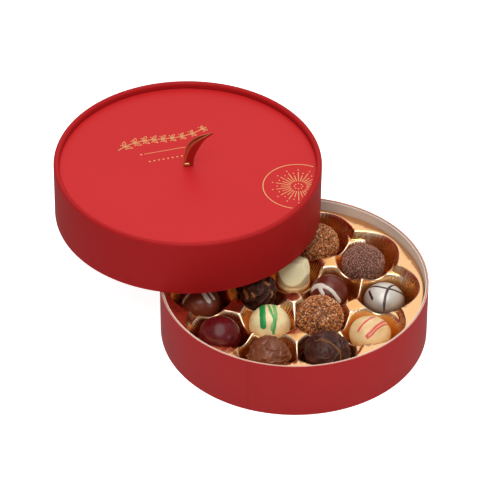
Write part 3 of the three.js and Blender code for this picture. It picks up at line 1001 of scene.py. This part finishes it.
class TrayForm:
    """The height of the moulded film over its plan, and the cells in which its cups lie."""

    def __init__(self, sizes):
        self.sizes = sizes
        self.cups = np.vstack((
            ring_places(5, sizes.inner_reach, sizes.inner_bearing),
            ring_places(10, sizes.outer_reach, sizes.outer_bearing),
        ))
        self.scallops = ring_places(10, sizes.scallop_reach, sizes.outer_bearing)
        self.rim = sizes.radius - sizes.edge

    def levels(self, places):
        """The heights of every cup's wall at places, of the cups together, and of the border."""
        sizes = self.sizes
        out = np.linalg.norm(places[..., None, :] - self.cups, axis=-1)
        floor_round = 0.9 * MM
        walls = sizes.cup_floor + soft_rise((out - sizes.floor_radius) * sizes.wall_slope, floor_round)
        beyond = np.linalg.norm(places[..., None, :] - self.scallops, axis=-1).min(axis=-1)
        rise = (sizes.top - sizes.field) / sizes.step_width
        step = sizes.field + soft_rise(
            (beyond - sizes.scallop_radius + sizes.step_width) * rise, sizes.shoulder_round / 2
        )
        border = soft_min(np.stack((step, np.full_like(step, sizes.top)), axis=-1), sizes.shoulder_round)
        return walls, soft_min(walls, sizes.ridge_round), border

    def heights(self, places, cup):
        """Heights at places that lie in the cell of one cup, which gives them its ribs."""
        sizes = self.sizes
        walls, cups, border = self.levels(places)
        film = soft_min(np.stack((cups, border), axis=-1), sizes.shoulder_round)
        own = walls[..., cup]
        middle_radius = 17 * MM
        ribs = round(FULL_TURN * middle_radius / sizes.rib_pitch)
        away = places - self.cups[cup]
        ripple = 0.5 + 0.5 * np.cos(ribs * np.arctan2(away[..., 1], away[..., 0]))
        off_floor = np.clip((own - sizes.cup_floor) / (2 * MM) - 0.5, 0, 1)
        off_ridge = np.clip(1.3 - (own - film) / (0.3 * MM), 0, 1)
        film = film - sizes.rib_depth * ripple * off_floor * off_ridge
        out = np.linalg.norm(places, axis=-1) - sizes.centre_radius
        far = np.clip(out / (sizes.centre_mouth - sizes.centre_radius), 0, 1)
        least = (sizes.centre_top - sizes.cup_floor) / (sizes.field - sizes.cup_floor)
        share = least + (1 - least) * far * far * (3 - 2 * far)
        return sizes.cup_floor + (film - sizes.cup_floor) * share

    # The film paints its pale highlight where this is high
    def crests(self, places):
        """How near places lie to a ridge between cups or to a shoulder, from 0 to 1."""
        sizes = self.sizes
        walls, cups, border = self.levels(places)
        least, second = np.moveaxis(np.partition(walls, 1, axis=-1)[..., :2], -1, 0)
        ridge_reach, shoulder_reach, lip_reach = 1.6 * MM, 0.7 * MM, 0.5 * MM
        ridge = np.exp(-(second - least) / ridge_reach) * (least < border)
        shoulder = np.exp(-np.abs(cups - border) / shoulder_reach)
        lip = np.exp(-np.abs(sizes.top - border - sizes.shoulder_round) / lip_reach) * (border < cups)
        return np.maximum(ridge, np.maximum(shoulder, 0.6 * lip))

    def seams(self):
        """Places along each line where two cells meet, keyed by the two cups."""
        lines = {}
        parallel, least_length = 1e-9, 0.01 * MM
        for first, second in combinations(range(len(self.cups)), 2):
            middle = (self.cups[first] + self.cups[second]) / 2
            across = self.cups[second] - self.cups[first]
            along = np.array((-across[1], across[0])) / np.linalg.norm(across)
            lean = middle @ along
            chord = lean ** 2 - middle @ middle + self.rim ** 2
            low, high = -lean - math.sqrt(chord), -lean + math.sqrt(chord)
            for other in set(range(len(self.cups))) - {first, second}:
                away = middle - self.cups[other]
                near = middle - self.cups[first]
                gain = 2 * along @ (self.cups[first] - self.cups[other])
                lead = away @ away - near @ near
                if gain > parallel:
                    low = max(low, -lead / gain)
                elif gain < -parallel:
                    high = min(high, -lead / gain)
                elif lead < 0:
                    high = low
            if high - low > least_length:
                count = max(1, round((high - low) / self.sizes.mesh_step))
                lines[first, second] = middle + np.linspace(low, high, count + 1)[:, None] * along
        return lines

    def cell_edge(self, cup, seams):
        """The places round the edge of a cup's cell, in order of their direction from the cup."""
        near_rim, least_gap = self.rim - 1e-6, 0.01 * MM
        rows = [line for pair, line in seams.items() if cup in pair]
        ends = [end for line in rows for end in (line[0], line[-1]) if np.linalg.norm(end) > near_rim]
        if ends:
            bearing = math.atan2(self.cups[cup][1], self.cups[cup][0])
            spread = math.acos(min(1.0, ends[0] @ self.cups[cup] / self.rim / self.sizes.outer_reach))
            count = round(2 * spread * self.rim / self.sizes.mesh_step)
            turns = bearing + np.linspace(-spread, spread, count + 1)[1:-1]
            rows.append(self.rim * np.column_stack((np.cos(turns), np.sin(turns))))
        places = np.vstack(rows)
        away = places - self.cups[cup]
        places = places[np.argsort(np.arctan2(away[:, 1], away[:, 0]))]
        gap = np.linalg.norm(places - np.roll(places, 1, axis=0), axis=1)
        return places[gap > least_gap]

    def cell(self, cup, seams, rows=12):
        """A cup's cell as a bmesh: a spun disc whose rows gather where the film bends."""
        edge = self.cell_edge(cup, seams)
        columns = len(edge)
        middle = self.cups[cup]
        flat_radius, samples, climb, bend_step = 9 * MM, 200, 5 * MM, 0.35
        run = np.linalg.norm(edge - middle, axis=1)
        shares = flat_radius / run + np.linspace(0, 1, samples)[:, None] * (1 - flat_radius / run)
        places = middle + shares[..., None] * (edge - middle)
        rise = np.diff(self.heights(places, cup), axis=0)
        step = np.diff(shares, axis=0) * run
        slope = np.arctan2(rise, step)
        bend = np.abs(np.diff(slope, axis=0, prepend=slope[:1]))
        work = np.hypot(rise, step) / climb + bend / bend_step
        effort = np.vstack((np.zeros(columns), np.cumsum(work, axis=0)))
        stations = np.empty((rows + 1, columns))
        stations[0] = 0
        for column in range(columns):
            wanted = np.linspace(0, effort[-1, column], rows)
            stations[1:, column] = np.interp(wanted, effort[:, column], shares[:, column])
        places = middle + stations[..., None] * (edge - middle)
        places[-1] = edge
        heights = self.heights(places, cup)
        crests = self.crests(places)
        bm = spun([(row * 1.0, 0.0) for row in range(rows + 1)], steps=columns)
        crest = bm.verts.layers.float.new("crest")
        for vert in bm.verts:
            row = round(vert.co.xy.length)
            column = round(math.atan2(vert.co.y, vert.co.x) / FULL_TURN * columns) % columns
            vert.co = (*places[row, column], heights[row, column])
            vert[crest] = crests[row, column]
        return bm


class BOX_OT_tray(Operator):
    """Models the tray: a thin gold sheet with a scalloped border round fifteen ribbed cups"""

    bl_idname = "pralines.tray"
    bl_label = "Gold tray"

    def execute(self, context):
        sizes = context.scene.tray_sizes
        form = TrayForm(sizes)
        seams = form.seams()
        bm = bmesh.new()
        for cup in range(len(form.cups)):
            take_in(bm, form.cell(cup, seams), "cup cell")
        bmesh.ops.remove_doubles(bm, verts=bm.verts, dist=0.002 * MM)
        steps = 4
        turns = [math.pi / 2 * step / steps for step in range(1, steps + 1)]
        skirt = [
            (form.rim + sizes.edge * math.sin(turn), sizes.top - sizes.edge * (1 - math.cos(turn)))
            for turn in turns
        ]
        skirt.append((form.rim + sizes.edge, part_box("tray")[0][2]))
        edges = [edge for edge in bm.edges if edge.is_boundary]
        for out, level in skirt:
            grown = bmesh.ops.extrude_edge_only(bm, edges=edges)["geom"]
            for vert in (item for item in grown if isinstance(item, bmesh.types.BMVert)):
                vert.co.xy *= out / vert.co.xy.length
                vert.co.z = level
            edges = [item for item in grown if isinstance(item, bmesh.types.BMEdge)]
        bmesh.ops.recalc_face_normals(bm, faces=bm.faces)
        bmesh.ops.solidify(bm, geom=bm.faces[:], thickness=sizes.sheet)
        film = gold_film(context.scene.box_colours)
        finished(bm, "tray_film", [film], "tray", SOFT_CREASE)
        return {"FINISHED"}


# The pralines


class BOX_OT_drizzled(Operator):
    """Models the smooth moulded pralines with their drizzles and piping"""

    bl_idname = "pralines.drizzled"
    bl_label = "Drizzled pralines"

    def execute(self, context):
        looks = context.scene.praline_looks
        colours = context.scene.box_colours
        fine = looks.fine_level
        self.pearl(colours, fine)
        self.ivory(colours, fine)
        self.milk(colours, fine)
        self.dark(colours, fine)
        self.plum(colours, looks.plain_level)
        return {"FINISHED"}

    def pearl(self, colours, level):
        crown = Crown("praline_pearl", 13.9, 22, 33.4)
        coat = Finish("pearl lustre", roughness=0.33, coat_weight=0.2, coat_roughness=0.2)
        pearl = tuple(colours.pearl)
        # Darker towards the foot: partly less lustre over the dark chocolate, partly painted shade
        lustre_and_painted_shade = coat.span(coat.axis("Z"), 20.5 * MM, 33.2 * MM)
        clouds = coat.noise(5 * MM, detail=3.0)
        dark_foot_and_shade = (0.11, 0.068, 0.062)
        coat.set("Base Color", coat.mix(0.10 * clouds + 0.95 * lustre_and_painted_shade ** 1.6, dark_foot_and_shade, pearl))
        coat.set("Metallic", 0.10 + 0.15 * clouds)
        coat.bump(coat.noise(0.5 * MM, detail=3.0), 0.02 * MM, 0.4)
        with_drizzle(coat, [("dark_line", (0.050, 0.017, 0.013))])
        lines = [
            (1.7, 0.3, [
                (-9.6, 4.9), (-7.3, 4.1), (-3.5, 1.5), (1.5, -0.7), (6.6, -0.8), (10.5, -0.6), (13.2, 1.1),
            ]),
            (1.7, 0.3, [
                (-0.6, -13.5), (-0.4, -11.2), (0.5, -6.5), (2.3, -1.3), (4.5, 2.6), (7.4, 6), (10.5, 4.4),
            ]),
            (1.9, 0.3, [(-10.2, 1.4), (-9.4, -3), (-8.2, -6.9)]),
        ]
        coated_praline(crown, "pearl_praline", [coat], level, [("dark_line", lines)], 0.1, 3.0)

    def ivory(self, colours, level):
        ivory = tuple(colours.ivory)
        warm = tinted(ivory, 0.86, 0.74, 0.60)
        crown = Crown("praline_cream_red", 13.95, 22.9, 33.2)
        coat = chocolate("white chocolate, pink lines", ivory, warm, 0.36)
        with_drizzle(coat, [("pink_line", tuple(colours.pink))])
        lines = [
            (1.7, 0.25, [(3.3, 6.8), (-1.3, 2.2), (-5.7, -2.6), (-8.2, -6)]),
            (1.5, 0.25, [(10.6, 6), (7.1, 0.4), (3.7, -3.7), (0.3, -7.7), (-3.1, -10.4)]),
            (1.3, 0.25, [(12, 3.3), (7, -2.7), (3.6, -6.4), (0.6, -9.8), (-2.4, -11.4)]),
        ]
        coated_praline(crown, "cream_praline_pink", [coat], level, [("pink_line", lines)], 0.1, 4.0)

        crown = Crown("praline_cream_green", 14, 20.2, 34.2)
        coat = chocolate("white chocolate, green lines", tinted(ivory, 1.16, 1.40, 1.45), ivory, 0.36)
        mild = (0.10, 0.40, 0.10)
        pale, green = tuple(colours.pale_green), tuple(colours.green)
        with_drizzle(coat, [("pale_line", pale), ("mild_line", mild), ("green_line", green)])
        bold = [(4.3, 0.4, [(-5.1, 8.6), (-4.9, -1.6), (-4.6, -7.4), (-4.3, -10.6)])]
        middle = [(1.9, 0.25, [
            (-1.3, 7.6), (0.8, -2.2), (2.9, -7.2), (3.5, -10.2), (2.6, -12.2), (2.4, -13.2),
        ])]
        thin = [(2.6, 0.25, [(2.4, 7.6), (3.5, -1.1), (3.9, -6.4), (2.1, -10.4), (1.6, -12.3)])]
        stripes = [("pale_line", thin), ("mild_line", middle), ("green_line", bold)]
        coated_praline(crown, "cream_praline_green", [coat], level, stripes, 0.1, 5.0)

    def milk(self, colours, level):
        brown = tuple(colours.brown)
        white = tuple(colours.cream_drizzle)
        for node, name, sizes, lines, seed in (
            ("praline_zigzag", "zigzag_praline", (13.5, 21.6, 34), [
                (2.2, 0.3, [(-12, -4.7), (-10.3, -3.7), (-7.9, -2.1), (-4.9, 0.6)]),
                (3.2, 0.4, [(0.5, -0.4), (3.5, -5.4), (6.1, -8)]),
                (2.2, 0.3, [(4.5, 0.5), (7.2, -2.9), (9.2, -4.6)]),
            ], 6.0),
            ("praline_milk_under_lid", "milk_praline_back", (13.9, 22, 35), [
                (1.6, 0.25, [(-9, -6), (-3, 5), (2, -5), (8, 6)]),
            ], 7.0),
        ):
            crown = Crown(node, *sizes)
            coat = chocolate(f"milk chocolate, {name}", brown, tinted(brown, 0.7), 0.3, level=0.32)
            with_drizzle(coat, [("white_line", white)])
            coated_praline(crown, name, [coat], level, [("white_line", lines)], 0.15, seed)

    def dark(self, colours, level):
        crown = Crown("praline_dark_swoosh", 13, 21.9, 33.9)
        base = tuple(colours.purple)
        coat = chocolate("dark chocolate, swoosh", base, tinted(base, 1.35), 0.3, level=0.3)
        with_drizzle(coat, [("white_line", tuple(colours.cream_drizzle))])
        lines = [
            (3.7, 0.5, [(-12, -2.1), (-10.4, -2.3), (-7.4, -3.6), (-4.5, -5.3)]),
            (2.5, 0.45, [(-5.2, -4.9), (-1.1, -7.1), (2.2, -9.2), (4.9, -10.8), (6.9, -11)]),
            (2.6, 0.45, [(-7.1, -4.2), (-5.8, -7.6), (-4.5, -9.7)]),
        ]
        coated_praline(crown, "swoosh_praline", [coat], level, [("white_line", lines)], 0.12, 8.0)

    def plum(self, colours, level):
        crown = Crown("praline_plum", 14.2, 22.8, 35.6)
        plum = tuple(colours.plum)
        coat = chocolate("plum glaze", plum, tinted(plum, 1.4), 0.27, 0.03, shine=0.06, level=0.26)
        coated_praline(crown, "plum_praline", [coat], level, (), 0.12, 9.0)


class BOX_OT_truffles(Operator):
    """Models the hand-rolled pieces: two crinkled dark truffles, a wavy milk one and the white tent"""

    bl_idname = "pralines.truffles"
    bl_label = "Truffles"

    def execute(self, context):
        colours = context.scene.box_colours
        level = context.scene.praline_looks.fine_level
        arc = [(0.9, 0.25, [
            (-9, 1.2), (-4.5, -0.9), (-0.6, -3.2), (2.7, -4.6),
            (5.9, -6.8), (8.5, -8.9), (9.9, -10.6), (9.9, -11.9),
        ])]
        # The glints are painted reflections of the gold film on the ruffled truffle, drawn with the caramel
        # line's mask
        glints = [
            (2.9, 0.1, [(-9.7, -6), (-8.9, -7.6), (-8.3, -8.7), (-7.7, -9.7)]),
            (1.7, 0.1, [(4.4, -4.7), (5.8, -4.7), (7.1, -5.2)]),
            (1.9, 0.1, [(9.8, -6.2), (9.8, -7.4), (9.2, -8.3)]),
            (1.4, 0.1, [(-4.3, -10.2), (-3.2, -10.9), (-2.3, -11.6)]),
        ]
        caramel_and_gold_reflection = tuple(colours.caramel_and_gold_reflection)
        dull = tinted(caramel_and_gold_reflection, 0.6, 0.8, 1.1)
        self.crinkled(
            colours, "praline_dark_truffle", "dark_truffle", (16, 26.2, 39.6), level,
            seed=2.0, fold=1.35, pitch=3.0, warping=2.2, ledge=3.0, lines=arc, shade=dull,
        )
        self.crinkled(
            colours, "praline_ruffled_truffle", "ruffled_truffle", (12.5, 24.5, 38.4), level,
            seed=7.5, fold=1.3, pitch=2.0, warping=1.5, ledge=None, lines=glints, shade=caramel_and_gold_reflection,
        )
        self.wavy(colours, level)
        self.tent(colours)
        return {"FINISHED"}

    def crinkled(self, colours, node, name, sizes, level, seed, fold, pitch, warping, ledge, lines, shade):
        """A truffle with pits and slanting folds, and past a ledge a lip where its coat drew back. The fold
        crests get a painted highlight, and the sunken side past the ledge gets painted shade.
        """
        crown = Crown(node, *sizes)
        dark = tuple(colours.dark)
        coat = chocolate(
            f"dark chocolate, {name}", dark, tinted(dark, 1.9), 0.38, 0.10, shine=0.04, level=0.19
        )
        # A painted highlight colour for the fold crests
        fold_bloom = (0.165, 0.070, 0.050)
        with_drizzle(coat, [("fold_bloom", fold_bloom), ("caramel_line", shade)])
        mesh = mesh_of(unit_ball(level), name)
        points, normals = crown.shape(get_points(mesh))
        warp = relief(points, 9 * MM, 2, seed)
        fold_run, ledge_run = np.array((0.75, 0.35, -0.9)), np.array((0.53, 0.85))
        slant = points @ fold_run / (pitch * MM)
        folds = 1 - np.abs(np.sin(slant + warping * warp)) ** 0.7
        ridges = relief(points, 6 * MM, 3, seed + 2, ridged=True)
        grain = relief(points, 1.3 * MM, 3, seed + 4)
        lift = fold * (folds - 0.6) + 0.75 * ridges + 0.30 * grain
        # Painted highlight along the fold crests, kept in the bloom mask
        bloom = 0.55 * np.clip(folds * 1.9 - 0.75 + 0.35 * ridges, 0, 1)
        if ledge is not None:
            ahead = points[:, :2] @ ledge_run / MM + ledge
            inside = 1 / (1 + np.exp(np.clip(ahead / 0.22, -30, 30)))
            lift = lift * (1 - 0.55 * inside) - 1.2 * inside
            # Less highlight past the ledge: painted shade on the sunken side
            bloom = bloom * (1 - 0.7 * inside)
        store(mesh, "fold_bloom", bloom)
        points = add_drizzle(mesh, points, normals, crown, "caramel_line", lines)
        points += normals * (MM * lift)[:, None]
        set_points(mesh, crown.settle(points))
        placed(mesh, name, [coat], node)

    def wavy(self, colours, level):
        """A milk praline whose coat ran down in swirls and set with a ragged hem, with a painted highlight
        on the swirl crests.
        """
        crown = Crown("praline_milk_wavy", 14, 23, 37.9)
        milk = tuple(colours.milk)
        coat = chocolate("milk chocolate, waves", milk, tinted(milk, 1.35), 0.32, 0.08, level=0.36)
        # The swirl colour is a painted highlight on the swirl crests
        with_drizzle(coat, [("swirl", tinted(milk, 1.9, 2.1, 2.4))])
        mesh = mesh_of(unit_ball(level), "wavy_praline")
        points, normals = crown.shape(get_points(mesh))
        turn = np.arctan2(points[:, 1], points[:, 0])
        rise = (points[:, 2] - crown.waist) / (crown.top - crown.waist)
        warp = relief(points, 10 * MM, 2, 3.0)
        swirl = 1 - np.abs(np.sin(2 * turn + 6 * rise + 3.2 * warp)) ** 0.55
        wrinkles = np.sin(9 * turn - 9 * rise + 4 * relief(points, 4 * MM, 2, 9.0))
        band = np.exp(-((rise + 0.02) / 0.16) ** 2)
        hem = np.sin(8 * turn + 2.5 * warp + 1.3) + 0.6 * np.sin(17 * turn)
        under_hem = np.clip(-rise - 0.12, 0, 1)
        lift = 1.25 * swirl + 0.2 * wrinkles + 0.9 * hem * band - 0.8 - 0.9 * under_hem
        # Where the swirl crests stand high the coat gets its painted highlight
        store(mesh, "swirl", 0.6 * np.clip(swirl * 2.2 - 1.1, 0, 1))
        points += normals * (MM * lift)[:, None]
        set_points(mesh, crown.settle(points))
        placed(mesh, "wavy_praline", [coat], "praline_milk_wavy")

    def tent(self, colours):
        """A white praline with a band round its foot and a top of softened slanted planes."""
        node = "praline_white_tent"
        middle = node_middle(node)
        foot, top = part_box(node)[0][2], 34.6 * MM
        radius, groove = 11.5 * MM, 19.6 * MM
        eave = groove + 1.6 * MM
        body = radius - 0.25 * MM
        band = [(radius * 0.9, foot), (radius * 0.98, foot + 1 * MM), (radius, groove - 1.1 * MM)]
        neck = [
            (radius - 0.2 * MM, groove - 0.6 * MM), (radius - 0.9 * MM, groove - 0.1 * MM),
            (radius - 0.8 * MM, groove + 0.4 * MM), (body - 0.1 * MM, groove + 0.9 * MM),
        ]
        wall_rows, roof_rows = 14, 30
        wall = [(body, eave + (top - eave) * row / wall_rows) for row in range(wall_rows + 1)]
        roof = [(body * (1 - row / roof_rows), 2 * top) for row in range(1, roof_rows + 1)]
        bm = spun([(0, foot), *band, *neck, *wall, *roof], steps=144)
        planes = [
            (heading(math.radians(turn)), slope, start * MM)
            for turn, slope, start in ((262, 1.3, 1.5), (345, 1.5, 6.5), (70, 0.5, 4), (160, 0.8, 4))
        ]
        for vert in bm.verts:
            if vert.co.z > eave:
                level = soft_min(np.array([
                    top - slope * max(0.0, vert.co.xy @ way - start) for way, slope, start in planes
                ]), 0.5 * MM)
                share = min(1.0, (vert.co.z - eave) / (top - eave))
                vert.co.z = eave + (level - eave) * share
            push = noise.fractal(vert.co / (5 * MM), 1.0, 2.0, 3) * 0.10 * MM
            vert.co += vert.co.normalized() * push
        for _ in range(4):
            bmesh.ops.smooth_vert(
                bm, verts=bm.verts, factor=0.5, use_axis_x=True, use_axis_y=True, use_axis_z=True
            )
        bm.transform(Matrix.Translation((middle.x, middle.y, 0)))
        # Painted lighter than the plain white chocolate, to stand in for the light the tent misses under the
        # lid: painted light
        ivory = tinted(colours.ivory, 1.16, 1.42, 1.65)
        coat = chocolate("white chocolate, tent", ivory, tinted(ivory, 0.92), 0.42, level=0.3)
        finished(bm, "white_tent_praline", [coat], node, SOFT_CREASE)


class BOX_OT_crumbed(Operator):
    """Models the pralines rolled in chopped nuts and the one in cocoa granules"""

    bl_idname = "pralines.crumbed"
    bl_label = "Crumbed pralines"

    def execute(self, context):
        looks = context.scene.praline_looks
        colours = context.scene.box_colours
        nuts = self.nut_finish(colours)
        for node, name, sizes, seed in (
            ("praline_nut_front", "nut_praline_front", (15.8, 26.7, 40.7), 31),
            ("praline_nut_back", "nut_praline_back", (14.8, 26.6, 39.1), 32),
            ("praline_nut_under_lid", "nut_praline_side", (14.6, 26.4, 39.3), 33),
        ):
            self.rolled(Crown(node, *sizes), name, nuts, looks.nut_count, looks.nut_size, seed)
        cocoa = self.cocoa_finish(colours)
        crown = Crown("praline_cocoa", 14.7, 26.6, 38.4)
        self.rolled(crown, "cocoa_praline", cocoa, looks.granule_count, looks.granule_size, 34)
        return {"FINISHED"}

    def nut_finish(self, colours):
        """Chopped nuts, from burnt skin through roast to pale kernel."""
        nuts = Finish(
            "chopped nuts", roughness=0.4, specular_ior_level=0.38, coat_weight=0.14, coat_roughness=0.2,
        )
        nut = tuple(colours.nut)
        burnt, skin, kernel = (0.060, 0.012, 0.003), (0.20, 0.05, 0.014), (1.0, 0.78, 0.50)
        tone = nuts.ramp(nuts.attribute("roast"), [
            (0.0, burnt), (0.28, tinted(nut, 0.45)), (0.60, nut), (0.85, tinted(nut, 1.4, 1.8, 2.4)),
            (1.0, kernel),
        ])
        specks = nuts.noise(0.6 * MM, detail=3.0)
        nuts.set("Base Color", nuts.mix(0.22 * specks, tone, skin))
        nuts.bump(specks, 0.08 * MM, 0.6)
        return nuts

    def cocoa_finish(self, colours):
        """Dull granules of cocoa, some much paler than others."""
        cocoa = Finish("cocoa granules", roughness=0.8, specular_ior_level=0.2)
        roast = cocoa.attribute("roast")
        shade = tuple(colours.cocoa)
        cocoa.set("Base Color", cocoa.mix(roast ** 1.3, tinted(shade, 0.32), tinted(shade, 3.1)))
        cocoa.bump(cocoa.noise(0.4 * MM, detail=3.0), 0.05 * MM, 0.6)
        return cocoa

    def rolled(self, crown, name, finish, count, size, seed):
        """A core with crumbs pressed into it, spread evenly by the golden angle."""
        draw = random.Random(seed)
        core_level, core_depth, core_roast = 5, 0.35, 0.12
        bm = unit_ball(core_level)
        roast = bm.verts.layers.float.new("roast")
        directions = np.array([vert.co[:] for vert in bm.verts])
        points, normals = crown.shape(directions)
        points -= normals * size * core_depth
        points = crown.settle(points)
        for vert, point in zip(bm.verts, points):
            vert.co = point
            vert[roast] = core_roast
        golden = math.pi * (3 - math.sqrt(5))
        reach_down, batch = 1.72, 120
        for first in range(0, count, batch):
            crumbs = bmesh.new()
            layer = crumbs.verts.layers.float.new("roast")
            for i in range(first, min(first + batch, count)):
                level = 1 - reach_down * (i + 0.5) / count
                self.crumb(crumbs, layer, crown, level, golden * i, size, draw)
            take_in(bm, crumbs, "crumbs")
        finished(bm, name, [finish], crown.node, CRUMB_CREASE)

    def crumb(self, bm, layer, crown, level, turn, size, draw):
        """One crumb pressed into the core at a height share and a turn round the praline."""
        turn += draw.uniform(-0.05, 0.05)
        out = math.sqrt(max(0.0, 1 - level * level))
        point, normal = crown.shape(np.array([[out * math.cos(turn), out * math.sin(turn), level]]))
        point = crown.settle(point)
        at = Vector(point[0]) - Vector(normal[0]) * size * draw.uniform(0.12, 0.5)
        if at.z < crown.foot + size * 0.6:
            return
        tip = Vector(normal[0]).to_track_quat("Z", "Y").to_matrix().to_4x4()
        spin = Matrix.Rotation(draw.uniform(0, FULL_TURN), 4, "Z")
        lean = Matrix.Rotation(draw.uniform(-0.8, 0.8), 4, "X")
        scale = Matrix.Diagonal((
            size * draw.uniform(0.34, 0.70), size * draw.uniform(0.28, 0.52),
            size * draw.uniform(0.26, 0.5), 1,
        ))
        place = Matrix.Translation(at) @ tip @ spin @ lean @ scale
        made = bmesh.ops.create_icosphere(bm, subdivisions=1, radius=1.0, matrix=place)
        tone = draw.betavariate(1.5, 1.4)
        for vert in made["verts"]:
            vert[layer] = tone


# The stage


class BOX_OT_stage(Operator):
    """Sets the pale floor, the soft studio light and the camera"""

    bl_idname = "pralines.stage"
    bl_label = "Stage"

    def execute(self, context):
        self.floor()
        self.light(context.scene)
        self.camera(context.scene)
        context.scene.view_settings.view_transform = "Standard"
        return {"FINISHED"}

    def floor(self):
        """A plain pale floor that glows enough to lose its shadows, and the light it sends back up."""
        floor = self.sheet("floor", 0.0, 0.9)
        floor.visible_diffuse = False
        floor.visible_glossy = False
        floor.visible_shadow = False
        bounce = self.sheet("bounce light", -5 * MM, 0.08)
        bounce.visible_camera = False
        bounce.visible_glossy = False

    def sheet(self, name, level, glow):
        """A wide level sheet of pale paper that glows a little."""
        bm = bmesh.new()
        place = Matrix.Translation((0, 0, level))
        bmesh.ops.create_grid(bm, x_segments=8, y_segments=8, size=4.0, matrix=place)
        mesh = mesh_of(bm, name)
        paper = Finish(f"{name} paper", roughness=0.9, specular_ior_level=0.1, emission_strength=glow)
        tone = paper.noise(0.4, detail=2.0)
        paper.set("Base Color", paper.mix(tone, (0.80, 0.80, 0.80), (0.84, 0.84, 0.84)))
        paper.set("Emission Color", (1.0, 1.0, 1.0))
        mesh.materials.append(paper.material)
        sheet = bpy.data.objects.new(name, mesh)
        bpy.context.scene.collection.objects.link(sheet)
        return sheet

    def light(self, scene):
        world = bpy.data.worlds.new("studio")
        world.use_nodes = True
        backdrop = world.node_tree.nodes["Background"]
        backdrop.inputs["Color"].default_value = (1.0, 0.98, 0.96, 1.0)
        backdrop.inputs["Strength"].default_value = 0.34
        scene.world = world
        target = (0, 0, 0.03)
        self.lamp("overhead softbox", (-0.03, -0.17, 1.15), target, (0.95, 1.5), 10.5)
        self.lamp("back panel", (0.0, 1.5, 1.35), target, (3.0, 1.5), 9.0)
        self.lamp("side softbox", (1.2, -0.7, 0.7), target, (0.5, 0.7), 1.6)

    def lamp(self, name, place, target, size, power):
        """An oval softbox at a place, turned to a target."""
        data = bpy.data.lights.new(name, "AREA")
        data.shape = "ELLIPSE"
        data.size, data.size_y = size
        data.energy = power
        lamp = bpy.data.objects.new(name, data)
        lamp.location = place
        aim = Vector(target) - Vector(place)
        lamp.rotation_euler = aim.to_track_quat("-Z", "Y").to_euler()
        bpy.context.scene.collection.objects.link(lamp)

    def camera(self, scene):
        data = bpy.data.cameras.new("camera")
        data.sensor_width = SENSOR_WIDTH
        data.lens = FOCAL_PIXELS * SENSOR_WIDTH / FRAME_PIXELS
        data.clip_start, data.clip_end = 0.05, 20.0
        camera = bpy.data.objects.new("camera", data)
        camera.location = CAMERA_PLACE
        camera.rotation_euler = (math.pi / 2 - CAMERA_PITCH, 0, 0)
        scene.collection.objects.link(camera)
        scene.camera = camera


class BOX_PT_pralines(Panel):
    """Lists the pieces of the praline box"""

    bl_label = "Pralines"
    bl_space_type = "VIEW_3D"
    bl_region_type = "UI"
    bl_category = "Pralines"

    def draw(self, context):
        for operator in OPERATORS:
            self.layout.operator(operator.bl_idname)


GROUPS = (
    ("box_sizes", BoxSizes), ("lid_sizes", LidSizes), ("tray_sizes", TraySizes),
    ("praline_looks", PralineLooks), ("box_colours", BoxColours),
)
OPERATORS = (
    BOX_OT_stage, BOX_OT_base, BOX_OT_lid, BOX_OT_ornament, BOX_OT_ribbon, BOX_OT_tray,
    BOX_OT_drizzled, BOX_OT_truffles, BOX_OT_crumbed,
)


def register():
    for _, group in GROUPS:
        bpy.utils.register_class(group)
    for name, group in GROUPS:
        setattr(bpy.types.Scene, name, PointerProperty(type=group))
    for operator in OPERATORS:
        bpy.utils.register_class(operator)
    bpy.utils.register_class(BOX_PT_pralines)


def unregister():
    bpy.utils.unregister_class(BOX_PT_pralines)
    for operator in reversed(OPERATORS):
        bpy.utils.unregister_class(operator)
    for name, group in reversed(GROUPS):
        delattr(bpy.types.Scene, name)
        bpy.utils.unregister_class(group)


def main():
    register()
    for operator in OPERATORS:
        group, name = operator.bl_idname.split(".")
        if getattr(getattr(bpy.ops, group), name)() != {"FINISHED"}:
            raise RuntimeError(f"{operator.bl_label} wasn't made")


if __name__ == "__main__":
    main()
